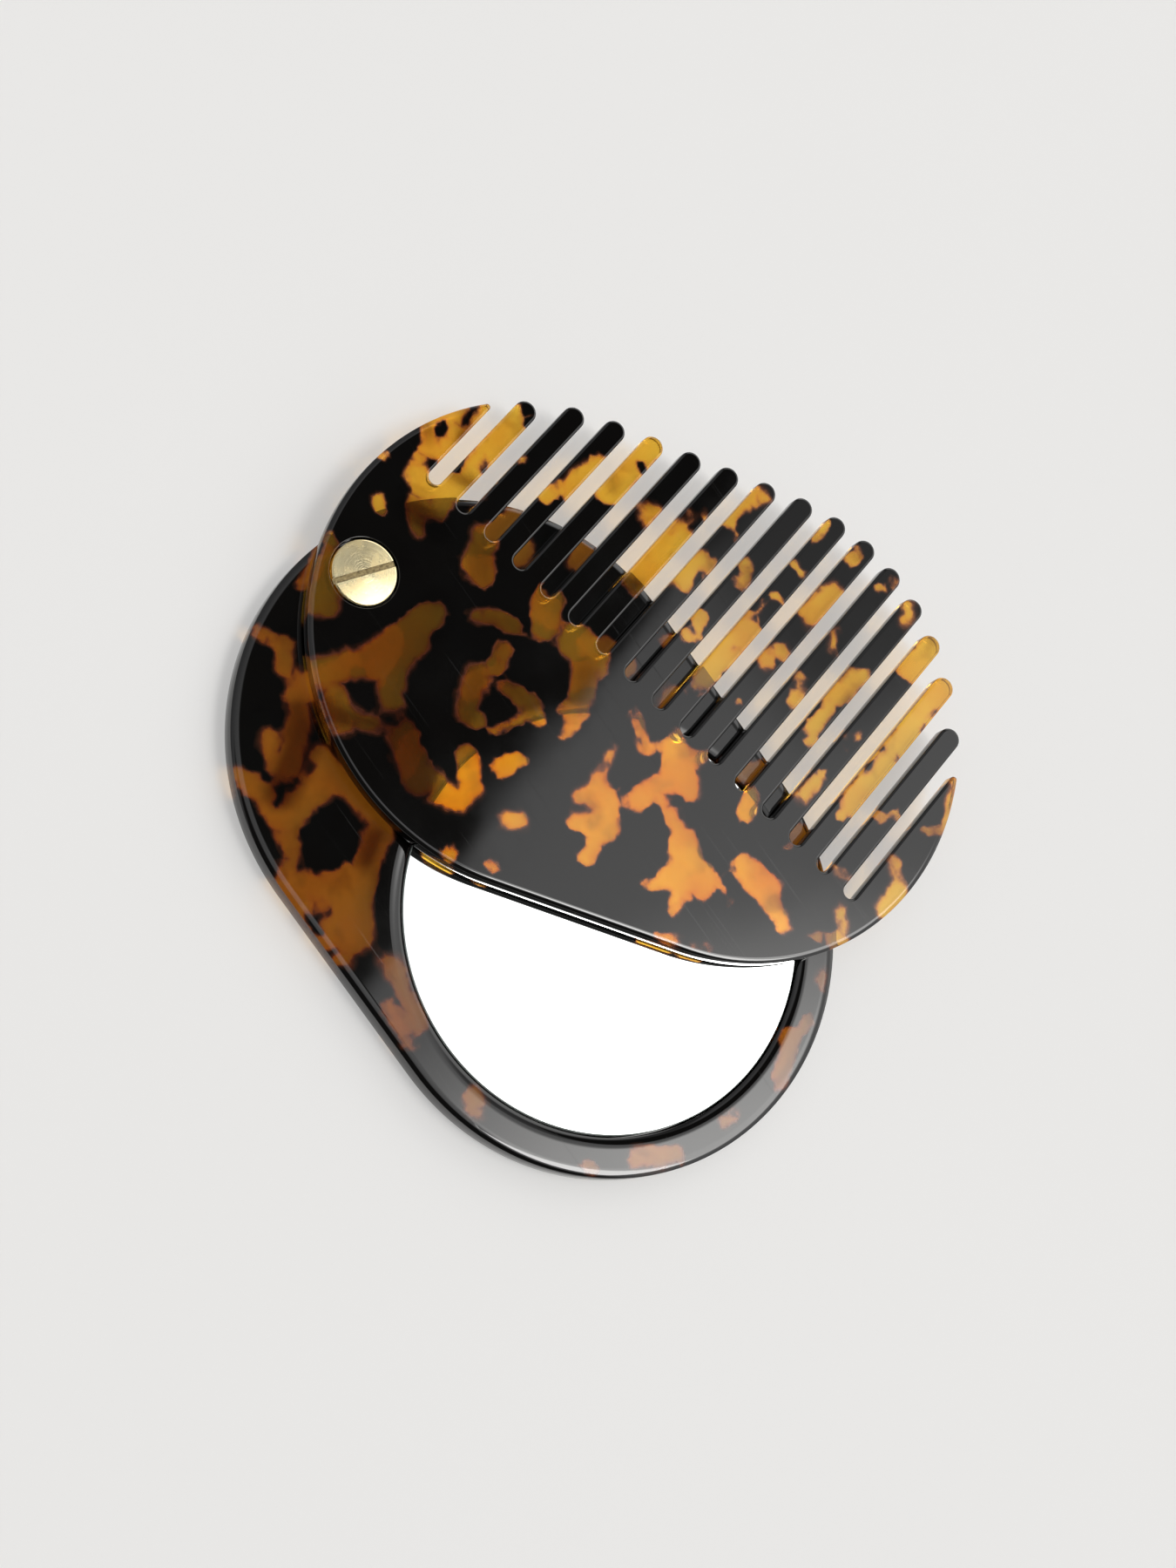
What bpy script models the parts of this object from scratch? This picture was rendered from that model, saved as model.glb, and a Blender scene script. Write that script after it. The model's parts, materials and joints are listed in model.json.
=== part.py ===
"""Pocket mirror comb.

A flat comb and a flat mirror plate share one racetrack outline and turn on one brass screw post.
The mirror plate lies on its back, with the middle of its back face at the origin and its long
axis along X. The comb lies over it, turned out round the post by the angle it is stored at.
"""

from math import atan2, cos, pi, radians, sin, sqrt

import bmesh
import bpy
from mathutils import Matrix, Vector

# Driving dimensions, in metres and radians.
GAP = 0.0003                    # clearance between any two neighbouring pieces

PLATE_LENGTH = 0.1066           # both plates, end to end
PLATE_WIDTH = 0.0750
PLATE_GAP = 0.0003              # air between the comb and the mirror plate
EDGE_ROUND = 0.0004             # polished rounding along the plates' edges

OPEN_ANGLE = radians(36.2)      # the comb's turn out of line with the mirror plate
SLOT_WIDTH = 0.00236
TOOTH_WIDTH = 0.00351
TOOTH_LEAN = radians(64.4)      # teeth to the plate's long axis
TOOTH_ROOT = 0.0180             # slot floors' line to the pivot
FIRST_SLOT = -0.0032            # first slot's near wall to the pivot, measured across the teeth
LAST_SLOT_WALL = 0.0040         # least material round the last slot's floor
LOBE_TIP_FACE = 0.0001          # flat left inside the rounded tips of the two outer lobes

RIM_WIDTH = 0.0059              # mirror pocket's wall to the plate's outline
LIP_WIDTH = 0.0018              # soft lip from the plate's face down to the mirror
GLASS_RECESS = 0.00035          # glass surface below the plate's face
GLASS_THICKNESS = 0.0013
GLASS_EDGE = 0.00015            # ground edge of the glass
ADHESIVE_THICKNESS = 0.0002
ADHESIVE_INSET = 0.0010         # adhesive disc's edge in from the glass's edge
POCKET_FLOOR = 0.00115          # plate left under the mirror pocket

PIVOT_WALL = 0.0020             # plate left outside the screw head's seat
COMB_FLOOR = 0.0009             # comb left under the screw head's seat
HEAD_RADIUS = 0.0050
HEAD_THICKNESS = 0.0009
HEAD_ROUND = 0.0003             # rounding on the head's and the flange's outer edge
HEAD_PROUD = 0.00015            # head above the comb's face
DRIVER_SLOT_WIDTH = 0.0009
DRIVER_SLOT_DEPTH = 0.0005
DRIVER_SLOT_TURN = radians(72.7)
BARREL_TO_HEAD = 0.5            # the barrel's width as a share of the head's
SHANK_TO_BARREL = 0.6           # the screw shank's width as a share of the barrel's
BARREL_FLOOR = 0.0009           # closed end of the barrel, behind its blind hole
FLANGE_THICKNESS = 0.0009
FLANGE_SUNK = 0.0001            # flange in from the plate's back face
SHANK_CHAMFER = 0.0003
HEAD_WASHER_THICKNESS = 0.00035
SPACER_THICKNESS = 0.0006
WASHER_INSET = 0.0003           # washers' edge in from the head's edge

# Shared cutting and smoothing values.
OVERRUN = 0.0010                # cutters past the faces that they open
MERGE = 0.000001
OUTLINE_STEP = radians(5)
TIP_STEP = radians(22.5)
ROUND_STEP = radians(30)
PLATE_TURN_STEPS = 96
POST_TURN_STEPS = 48
EDGE_SEGMENTS = 2
LIP_SEGMENTS = 3
RIM_ANGLE = radians(60)         # rim edges are sharper than this, outline corners are not
SMOOTH_ANGLE = radians(35)

# Sizes worked out from the driving ones.
END_RADIUS = PLATE_WIDTH / 2
SEAT_RADIUS = HEAD_RADIUS + GAP
BARREL_RADIUS = HEAD_RADIUS * BARREL_TO_HEAD
SHANK_RADIUS = BARREL_RADIUS * SHANK_TO_BARREL
POST_HOLE_RADIUS = BARREL_RADIUS + GAP
PIVOT_INSET = SEAT_RADIUS + PIVOT_WALL
PIVOT_X = PIVOT_INSET - PLATE_LENGTH / 2
NEAR_CENTRE = Vector((END_RADIUS - PIVOT_INSET, 0))
FAR_CENTRE = Vector((PLATE_LENGTH - PIVOT_INSET - END_RADIUS, 0))

LOBE_TIP_RADIUS = EDGE_ROUND + LOBE_TIP_FACE
SLOT_PITCH = SLOT_WIDTH + TOOTH_WIDTH
ALONG = Vector((cos(TOOTH_LEAN), sin(TOOTH_LEAN)))
ACROSS = Vector((ALONG.y, -ALONG.x))

POCKET_RADIUS = END_RADIUS - RIM_WIDTH
GLASS_RADIUS = POCKET_RADIUS - GAP
MIRROR_X = PIVOT_X + FAR_CENTRE.x
POCKET_DEPTH = GLASS_RECESS + GLASS_THICKNESS + ADHESIVE_THICKNESS + 2 * GAP
MIRROR_PLATE_THICKNESS = POCKET_DEPTH + POCKET_FLOOR
ADHESIVE_Z = POCKET_FLOOR + GAP
GLASS_Z = ADHESIVE_Z + ADHESIVE_THICKNESS + GAP

HEAD_SEAT_DEPTH = HEAD_THICKNESS - HEAD_PROUD + HEAD_WASHER_THICKNESS + 2 * GAP
COMB_THICKNESS = COMB_FLOOR + HEAD_SEAT_DEPTH
COMB_Z = MIRROR_PLATE_THICKNESS + PLATE_GAP
HEAD_WASHER_Z = COMB_Z + COMB_FLOOR + GAP
HEAD_Z = HEAD_WASHER_Z + HEAD_WASHER_THICKNESS + GAP
SPACER_Z = COMB_Z - GAP - SPACER_THICKNESS
SPACER_SEAT_Z = SPACER_Z - GAP
FLANGE_TOP = FLANGE_SUNK + FLANGE_THICKNESS
FLANGE_SEAT_Z = FLANGE_TOP + GAP
BARREL_TOP = HEAD_Z - GAP
BARREL_HOLE_Z = FLANGE_SUNK + BARREL_FLOOR
SHANK_Z = BARREL_HOLE_Z + GAP


def clear_scene():
    for thing in list(bpy.data.objects):
        bpy.data.objects.remove(thing, do_unlink=True)


def collection(name):
    group = bpy.data.collections.new(name)
    bpy.context.scene.collection.children.link(group)
    return group


def material(name, colour, roughness, metallic):
    made = bpy.data.materials.new(name)
    made.use_nodes = True
    shader = made.node_tree.nodes["Principled BSDF"]
    shader.inputs["Base Color"].default_value = (*colour, 1)
    shader.inputs["Roughness"].default_value = roughness
    shader.inputs["Metallic"].default_value = metallic
    return made


def arc(centre, radius, start, end, step):
    """Points round an arc, from one angle to the other, ends included."""
    count = max(2, round(abs(end - start) / step))
    angles = [start + (end - start) * index / count for index in range(count + 1)]
    return [centre + radius * Vector((cos(angle), sin(angle))) for angle in angles]


def outward_angle(point):
    """Direction in which the racetrack's outline faces beside a point inside it."""
    nearest_x = min(max(point.x, NEAR_CENTRE.x), FAR_CENTRE.x)
    return atan2(point.y, point.x - nearest_x)


def touching_centre(across, radius):
    """Centre of a circle on one tooth line that touches the outline from inside."""
    inner = END_RADIUS - radius
    foot = ACROSS * across
    point = foot + ALONG * ((inner - foot.y) / ALONG.y)
    if NEAR_CENTRE.x <= point.x <= FAR_CENTRE.x:
        return point
    centre = NEAR_CENTRE if point.x < NEAR_CENTRE.x else FAR_CENTRE
    offset = foot - centre
    along = offset.dot(ALONG)
    return foot + ALONG * (sqrt(along ** 2 - offset.length_squared + inner ** 2) - along)


def racetrack_outline():
    far_end = arc(FAR_CENTRE, END_RADIUS, -pi / 2, pi / 2, OUTLINE_STEP)
    near_end = arc(NEAR_CENTRE, END_RADIUS, pi / 2, 3 * pi / 2, OUTLINE_STEP)
    return far_end + near_end


def slot_walls():
    """The near wall of each slot, as long as the slot's floor stays well inside the plate."""
    walls = []
    wall = FIRST_SLOT
    while True:
        floor = ACROSS * (wall + SLOT_WIDTH / 2) + ALONG * (TOOTH_ROOT + SLOT_WIDTH / 2)
        spare = END_RADIUS - (floor - FAR_CENTRE).length - SLOT_WIDTH / 2
        if floor.x > FAR_CENTRE.x and spare < LAST_SLOT_WALL:
            return walls
        walls.append(wall)
        wall += SLOT_PITCH


def slot_floor(wall):
    """The slot's round floor, from its far wall to its near wall."""
    centre = ACROSS * (wall + SLOT_WIDTH / 2) + ALONG * (TOOTH_ROOT + SLOT_WIDTH / 2)
    lean = atan2(ACROSS.y, ACROSS.x)
    return arc(centre, SLOT_WIDTH / 2, lean, lean - pi, TIP_STEP)


def tooth_tip(wall):
    """The round tip of the tooth before a slot, from its far side to its near side."""
    centre = touching_centre(wall - TOOTH_WIDTH / 2, TOOTH_WIDTH / 2)
    lean = atan2(ACROSS.y, ACROSS.x)
    return arc(centre, TOOTH_WIDTH / 2, lean, lean + pi, TIP_STEP)


def comb_outline():
    """The racetrack with its upper side cut into teeth, drawn anticlockwise."""
    walls = slot_walls()
    lean = atan2(ACROSS.y, ACROSS.x)
    far_lobe = touching_centre(walls[-1] + SLOT_WIDTH + LOBE_TIP_RADIUS, LOBE_TIP_RADIUS)
    near_lobe = touching_centre(walls[0] - LOBE_TIP_RADIUS, LOBE_TIP_RADIUS)
    points = arc(NEAR_CENTRE, END_RADIUS, outward_angle(near_lobe), 3 * pi / 2, OUTLINE_STEP)
    points += arc(FAR_CENTRE, END_RADIUS, -pi / 2, outward_angle(far_lobe), OUTLINE_STEP)
    points += arc(far_lobe, LOBE_TIP_RADIUS, outward_angle(far_lobe), lean + pi, TIP_STEP)[1:]
    for wall in reversed(walls[1:]):
        points += slot_floor(wall) + tooth_tip(wall)
    points += slot_floor(walls[0])
    points += arc(near_lobe, LOBE_TIP_RADIUS, lean, outward_angle(near_lobe), TIP_STEP)[:-1]
    return points


def add_object(name, mesh, group, surface):
    made = bpy.data.objects.new(name, mesh)
    group.objects.link(made)
    mesh.materials.append(surface)
    return made


def flat_plate(name, outline, thickness, group, surface):
    """A flat outline given its thickness upwards, with its rims rounded."""
    curve = bpy.data.curves.new(name + "_outline", "CURVE")
    curve.dimensions = "2D"
    curve.fill_mode = "BOTH"
    curve.extrude = thickness / 2
    spline = curve.splines.new("POLY")
    spline.points.add(len(outline) - 1)
    for point, place in zip(spline.points, outline):
        point.co = (place.x, place.y, 0, 1)
    spline.use_cyclic_u = True
    drawn = bpy.data.objects.new(name + "_outline", curve)
    group.objects.link(drawn)
    bpy.context.view_layer.update()
    evaluated = drawn.evaluated_get(bpy.context.evaluated_depsgraph_get())
    mesh = bpy.data.meshes.new_from_object(evaluated)
    bpy.data.objects.remove(drawn)
    weld_caps(mesh, thickness / 2)
    plate = add_object(name, mesh, group, surface)
    rim = plate.modifiers.new("rim", "BEVEL")
    rim.width = EDGE_ROUND
    rim.segments = EDGE_SEGMENTS
    rim.limit_method = "ANGLE"
    rim.angle_limit = RIM_ANGLE
    return plate


def weld_caps(mesh, lift):
    """Close the extruded curve, make each cap one face, and stand the plate on its own zero."""
    cleaned = bmesh.new()
    cleaned.from_mesh(mesh)
    bmesh.ops.remove_doubles(cleaned, verts=cleaned.verts, dist=MERGE)
    cap_edges = [edge for edge in cleaned.edges if edge.calc_face_angle(pi) < MERGE]
    bmesh.ops.dissolve_edges(cleaned, edges=cap_edges)
    bmesh.ops.recalc_face_normals(cleaned, faces=cleaned.faces)
    bmesh.ops.translate(cleaned, verts=cleaned.verts, vec=(0, 0, lift))
    cleaned.to_mesh(mesh)
    cleaned.free()


def turned(name, profile, steps, group, surface):
    """A profile of (radius, height) points turned about Z."""
    mesh = bpy.data.meshes.new(name)
    corners = [(radius, 0, height) for radius, height in profile]
    is_ring = all(radius > 0 for radius, height in profile)
    links = [(index, index + 1) for index in range(len(corners) - 1)]
    if is_ring:
        links.append((len(corners) - 1, 0))
    mesh.from_pydata(corners, links, [])
    made = add_object(name, mesh, group, surface)
    screw = made.modifiers.new("turn", "SCREW")
    screw.steps = steps
    screw.render_steps = steps
    screw.use_merge_vertices = True
    screw.merge_threshold = MERGE
    screw.use_smooth_shade = True
    return made


def disc_profile(radius, low, high):
    return [(0, high), (radius, high), (radius, low), (0, low)]


def ring_profile(inner, outer, low, high):
    return [(outer, high), (outer, low), (inner, low), (inner, high)]


def rounded_corner(radius, height, rounding, start, end):
    """Profile points round one edge of a turned piece."""
    centre = Vector((radius, height))
    return [tuple(point) for point in arc(centre, rounding, start, end, ROUND_STEP)]


def cut(target, cutter):
    cutter.hide_render = True
    cutter.display_type = "WIRE"
    made = target.modifiers.new(cutter.name, "BOOLEAN")
    made.operation = "DIFFERENCE"
    made.solver = "EXACT"
    made.object = cutter


def shade_smooth(piece):
    piece.data.shade_smooth()
    piece.data.set_sharp_from_angle(angle=SMOOTH_ANGLE)


def seat_cutter(name, radius, low, high, group, surface):
    """A round cutter on the post's axis; heights are in the frame of what it is parented to."""
    return turned(name, disc_profile(radius, low, high), POST_TURN_STEPS, group, surface)


def build_comb_plate(parts, cutters, surface):
    axis = bpy.data.objects.new("comb_swing_axis", None)
    parts.objects.link(axis)
    axis.location = (PIVOT_X, 0, COMB_Z)
    axis.rotation_euler = (0, 0, OPEN_ANGLE)
    comb = flat_plate("comb_plate", comb_outline(), COMB_THICKNESS, parts, surface)
    shade_smooth(comb)
    seat_top = COMB_THICKNESS + OVERRUN
    seat = seat_cutter("head_seat", SEAT_RADIUS, COMB_FLOOR, seat_top, cutters, surface)
    hole = seat_cutter("comb_post_hole", POST_HOLE_RADIUS, -OVERRUN, seat_top, cutters, surface)
    for cutter in (seat, hole):
        cutter.parent = axis
        cut(comb, cutter)
    comb.parent = axis


def lip_profile():
    """A quarter of an ellipse from the plate's face down to the level of the mirror."""
    points = []
    for step in range(LIP_SEGMENTS + 1):
        turn = pi / 2 * (1 + step / LIP_SEGMENTS)
        radius = POCKET_RADIUS + LIP_WIDTH * (1 + cos(turn))
        height = MIRROR_PLATE_THICKNESS - GLASS_RECESS * (1 - sin(turn))
        points.append((radius, height))
    return points


def build_mirror_plate(parts, cutters, surface):
    plate = flat_plate("mirror_plate", racetrack_outline(), MIRROR_PLATE_THICKNESS, parts, surface)
    plate.location = (PIVOT_X, 0, 0)
    shade_smooth(plate)
    top = MIRROR_PLATE_THICKNESS + OVERRUN
    mouth = [(0, top), (POCKET_RADIUS + LIP_WIDTH, top)] + lip_profile() + [
        (POCKET_RADIUS, POCKET_FLOOR),
        (0, POCKET_FLOOR),
    ]
    pocket = turned("mirror_pocket", mouth, PLATE_TURN_STEPS, cutters, surface)
    pocket.location = (MIRROR_X, 0, 0)
    spacer_seat = seat_cutter("spacer_seat", SEAT_RADIUS, SPACER_SEAT_Z, top, cutters, surface)
    flange_seat = seat_cutter("flange_seat", SEAT_RADIUS, -OVERRUN, FLANGE_SEAT_Z, cutters, surface)
    hole = seat_cutter("plate_post_hole", POST_HOLE_RADIUS, -OVERRUN, top, cutters, surface)
    for cutter in (spacer_seat, flange_seat, hole):
        cutter.location = (PIVOT_X, 0, 0)
    for cutter in (pocket, spacer_seat, flange_seat, hole):
        cut(plate, cutter)


def build_mirror_glass(parts, silver, adhesive):
    top = GLASS_THICKNESS
    profile = [
        (0, top),
        (GLASS_RADIUS - GLASS_EDGE, top),
        (GLASS_RADIUS, top - GLASS_EDGE),
        (GLASS_RADIUS, GLASS_EDGE),
        (GLASS_RADIUS - GLASS_EDGE, 0),
        (0, 0),
    ]
    glass = turned("mirror_glass", profile, PLATE_TURN_STEPS, parts, silver)
    glass.location = (MIRROR_X, 0, GLASS_Z)
    film = disc_profile(GLASS_RADIUS - ADHESIVE_INSET, 0, ADHESIVE_THICKNESS)
    disc = turned("mirror_adhesive", film, PLATE_TURN_STEPS, parts, adhesive)
    disc.location = (MIRROR_X, 0, ADHESIVE_Z)


def build_pivot_screw(parts, cutters, surface):
    """The slotted screw: its own zero is the underside of its head."""
    length = HEAD_Z - SHANK_Z
    crown = rounded_corner(HEAD_RADIUS - HEAD_ROUND, HEAD_THICKNESS - HEAD_ROUND, HEAD_ROUND, pi / 2, 0)
    profile = [(0, HEAD_THICKNESS)] + crown + [
        (HEAD_RADIUS, 0),
        (SHANK_RADIUS, 0),
        (SHANK_RADIUS, SHANK_CHAMFER - length),
        (SHANK_RADIUS - SHANK_CHAMFER, -length),
        (0, -length),
    ]
    screw = turned("pivot_screw", profile, POST_TURN_STEPS, parts, surface)
    screw.location = (PIVOT_X, 0, HEAD_Z)
    bpy.ops.mesh.primitive_cube_add(size=1)
    slot = bpy.context.object
    slot.name = "driver_slot"
    slot_length = 2 * (HEAD_RADIUS + OVERRUN)
    slot_height = DRIVER_SLOT_DEPTH + OVERRUN
    slot.data.transform(Matrix.Diagonal((slot_length, DRIVER_SLOT_WIDTH, slot_height, 1)))
    slot_middle = HEAD_Z + HEAD_THICKNESS - DRIVER_SLOT_DEPTH + slot_height / 2
    slot.location = (PIVOT_X, 0, slot_middle)
    slot.rotation_euler = (0, 0, DRIVER_SLOT_TURN)
    for group in list(slot.users_collection):
        group.objects.unlink(slot)
    cutters.objects.link(slot)
    cut(screw, slot)


def build_barrel_nut(parts, surface):
    """The flanged post that the screw threads into, with a blind hole from its top."""
    heel = rounded_corner(HEAD_RADIUS - HEAD_ROUND, FLANGE_SUNK + HEAD_ROUND, HEAD_ROUND, 0, -pi / 2)
    profile = [
        (0, BARREL_HOLE_Z),
        (SHANK_RADIUS + GAP, BARREL_HOLE_Z),
        (SHANK_RADIUS + GAP, BARREL_TOP),
        (BARREL_RADIUS, BARREL_TOP),
        (BARREL_RADIUS, FLANGE_TOP),
        (HEAD_RADIUS, FLANGE_TOP),
    ] + heel + [(0, FLANGE_SUNK)]
    nut = turned("barrel_nut", profile, POST_TURN_STEPS, parts, surface)
    nut.location = (PIVOT_X, 0, 0)


def build_washer(name, low, thickness, parts, surface):
    profile = ring_profile(POST_HOLE_RADIUS, HEAD_RADIUS - WASHER_INSET, 0, thickness)
    washer = turned(name, profile, POST_TURN_STEPS, parts, surface)
    washer.location = (PIVOT_X, 0, low)


def main():
    clear_scene()
    parts = collection("pocket_mirror_comb")
    cutters = collection("cutters")
    tortoiseshell = material("tortoiseshell_acetate", (0.23, 0.085, 0.012), 0.08, 0)
    silver = material("mirror_silver", (0.93, 0.94, 0.94), 0.02, 1)
    brass = material("polished_brass", (0.83, 0.64, 0.27), 0.18, 1)
    nylon = material("nylon", (0.72, 0.70, 0.64), 0.5, 0)
    adhesive = material("adhesive_film", (0.75, 0.75, 0.72), 0.7, 0)
    build_mirror_plate(parts, cutters, tortoiseshell)
    build_mirror_glass(parts, silver, adhesive)
    build_barrel_nut(parts, brass)
    build_washer("spacer_washer", SPACER_Z, SPACER_THICKNESS, parts, nylon)
    build_comb_plate(parts, cutters, tortoiseshell)
    build_washer("head_washer", HEAD_WASHER_Z, HEAD_WASHER_THICKNESS, parts, nylon)
    build_pivot_screw(parts, cutters, brass)


main()
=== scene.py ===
"""Looks of the pocket mirror comb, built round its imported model.

Lengths are in millimetres unless a name ends in _M. A plate's own zero is on the post's axis, with X
along the plate and Y across it.
"""

import json
from math import atan2, cos, pi, radians, sin, sqrt
from random import Random

import bpy
import numpy as np
from mathutils import Matrix, Vector
from mathutils.geometry import delaunay_2d_cdt


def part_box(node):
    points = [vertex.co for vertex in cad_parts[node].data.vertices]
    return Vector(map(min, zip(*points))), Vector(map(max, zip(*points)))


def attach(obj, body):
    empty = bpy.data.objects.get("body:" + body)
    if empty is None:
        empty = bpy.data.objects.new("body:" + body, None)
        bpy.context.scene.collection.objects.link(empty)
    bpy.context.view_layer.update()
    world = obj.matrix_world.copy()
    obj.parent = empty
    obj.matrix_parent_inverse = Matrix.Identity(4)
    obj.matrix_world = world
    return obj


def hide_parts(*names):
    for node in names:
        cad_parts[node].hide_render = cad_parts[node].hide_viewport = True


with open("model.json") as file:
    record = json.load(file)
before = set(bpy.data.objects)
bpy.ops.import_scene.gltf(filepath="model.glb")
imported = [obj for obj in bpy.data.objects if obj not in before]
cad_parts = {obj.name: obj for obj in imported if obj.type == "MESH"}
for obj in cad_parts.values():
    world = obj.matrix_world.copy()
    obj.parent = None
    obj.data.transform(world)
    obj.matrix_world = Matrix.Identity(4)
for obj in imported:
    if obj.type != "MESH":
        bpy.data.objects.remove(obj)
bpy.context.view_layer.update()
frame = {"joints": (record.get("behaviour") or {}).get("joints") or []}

MM = 0.001

# Camera, fitted to both plates' outlines in the photograph.
CAMERA_PLACE_M = Vector((-0.03215, -0.18546, 0.41931))
CAMERA_LOOK = Vector((0.06587, 0.42583, -0.90240))
CAMERA_UP = Vector((-0.81124, 0.54943, 0.20005))
CAMERA_LENS_MM = 71.63
CAMERA_NEAR_M = 0.01
CAMERA_FAR_M = 100

# Shapes that the solids share, named as in the part's source, apart from SLOT_COUNT.
OPEN_ANGLE = radians(36.2)
SLOT_WIDTH = 2.36
TOOTH_WIDTH = 3.51
TOOTH_LEAN = radians(64.4)
TOOTH_ROOT = 18.0
FIRST_SLOT = -3.2
SLOT_COUNT = 16
LOBE_TIP_RADIUS = 0.5
EDGE_ROUND = 0.4
GAP = 0.3
LIP_WIDTH = 1.8
GLASS_RECESS = 0.35
GLASS_EDGE = 0.15
POCKET_FLOOR = 1.15
COMB_FLOOR = 0.9
HEAD_ROUND = 0.3
FLANGE_THICKNESS = 0.9
SHANK_CHAMFER = 0.3
BARREL_TO_HEAD = 0.5
SHANK_TO_BARREL = 0.6
DRIVER_SLOT_WIDTH = 0.9
DRIVER_SLOT_DEPTH = 0.5
DRIVER_SLOT_TURN = radians(72.7)

# Softening that the visible pieces add: how far in from its edge a face starts to round, then small
# rounded corners and the screwdriver slot's chamfer.
PLATE_SOFTNESS = 1.5
SPINE_SOFTNESS = 0.9
SEAT_EDGE = 0.12
HOLE_EDGE = 0.1
INNER_CORNER = 0.08
POCKET_CORNER = 0.15
GLASS_CORNER = 0.02
FILM_EDGE = 0.04
METAL_EDGE = 0.05
WASHER_EDGE = 0.05
DRIVER_SLOT_CHAMFER = 0.08

# Slopes that only the shading has, and the bend from which it shows an edge.
WALL_BULGE = 0.14
DOME_SLOPE = 0.11
GLASS_BOW = 0.021
SHARP_ANGLE = radians(35)


def box_mm(node):
    low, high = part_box(node)
    return low / MM, high / MM


plate_low, plate_high = box_mm("mirror_plate")
comb_low, comb_high = box_mm("comb_plate")
glass_low, glass_high = box_mm("mirror_glass")
film_low, film_high = box_mm("mirror_adhesive")
screw_low, screw_high = box_mm("pivot_screw")
nut_low, nut_high = box_mm("barrel_nut")

PIVOT = Vector(frame["joints"][0]["pos_m"]).xy / MM
END_RADIUS = (plate_high.y - plate_low.y) / 2
PLATE_THICKNESS = plate_high.z - plate_low.z
COMB_THICKNESS = comb_high.z - comb_low.z
NEAR_CENTRE = Vector((plate_low.x - PIVOT.x + END_RADIUS, 0))
FAR_CENTRE = Vector((plate_high.x - PIVOT.x - END_RADIUS, 0))
HEAD_RADIUS = (screw_high.x - screw_low.x) / 2
SEAT_RADIUS = HEAD_RADIUS + GAP
OUTSIDE = 2 * SEAT_RADIUS
BARREL_RADIUS = HEAD_RADIUS * BARREL_TO_HEAD
SHANK_RADIUS = BARREL_RADIUS * SHANK_TO_BARREL
POST_HOLE_RADIUS = BARREL_RADIUS + GAP
GLASS_RADIUS = (glass_high.x - glass_low.x) / 2
POCKET_RADIUS = GLASS_RADIUS + GAP
HEAD_BOTTOM = box_mm("head_washer")[1].z + GAP
SPACER_SEAT = box_mm("spacer_washer")[0].z - GAP
FLANGE_TOP = nut_low.z + FLANGE_THICKNESS
ALONG = Vector((cos(TOOTH_LEAN), sin(TOOTH_LEAN)))
ACROSS = Vector((ALONG.y, -ALONG.x))
SLOT_PITCH = SLOT_WIDTH + TOOTH_WIDTH

# Fineness of the visible meshes.
ARC_STEP = radians(2)
TIP_STEP = radians(11.25)
SOFTENING_STEPS = 6
LONGEST_STEP = 1.0
RIM_SEGMENTS = 8
CORNER_SEGMENTS = 3
CELL = 1.5
CELL_MARGIN = 0.7
LIP_SEGMENTS = 10
POCKET_STEPS = 256
FILM_STEPS = 128
POST_STEPS = 96

# How far a cut overruns, and two guards against rounding errors.
OVERRUN = 1.0
MERGE = 0.000001
SMALLEST_SQUARE = 1e-12


# Outlines: lists of (point, outward normal, width of the softened edge), drawn anticlockwise.
def arc(centre, radius, start, end, step, side=1, softness=EDGE_ROUND):
    count = max(2, round(abs(end - start) / step))
    spokes = []
    for index in range(count + 1):
        angle = start + (end - start) * index / count
        spoke = Vector((cos(angle), sin(angle)))
        spokes.append((centre + radius * spoke, side * spoke, softness))
    return spokes


def outward_angle(point):
    nearest_x = min(max(point.x, NEAR_CENTRE.x), FAR_CENTRE.x)
    return atan2(point.y, point.x - nearest_x)


def touching_centre(across, radius):
    """Centre of a circle on one tooth line that touches the outline from inside."""
    inner = END_RADIUS - radius
    foot = ACROSS * across
    point = foot + ALONG * ((inner - foot.y) / ALONG.y)
    if NEAR_CENTRE.x <= point.x <= FAR_CENTRE.x:
        return point
    centre = NEAR_CENTRE if point.x < NEAR_CENTRE.x else FAR_CENTRE
    offset = foot - centre
    along = offset.dot(ALONG)
    return foot + ALONG * (sqrt(along**2 - offset.length_squared + inner**2) - along)


def racetrack_outline():
    far_end = arc(FAR_CENTRE, END_RADIUS, -pi / 2, pi / 2, ARC_STEP, 1, PLATE_SOFTNESS)
    return far_end + arc(NEAR_CENTRE, END_RADIUS, pi / 2, 3 * pi / 2, ARC_STEP, 1, PLATE_SOFTNESS)


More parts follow.
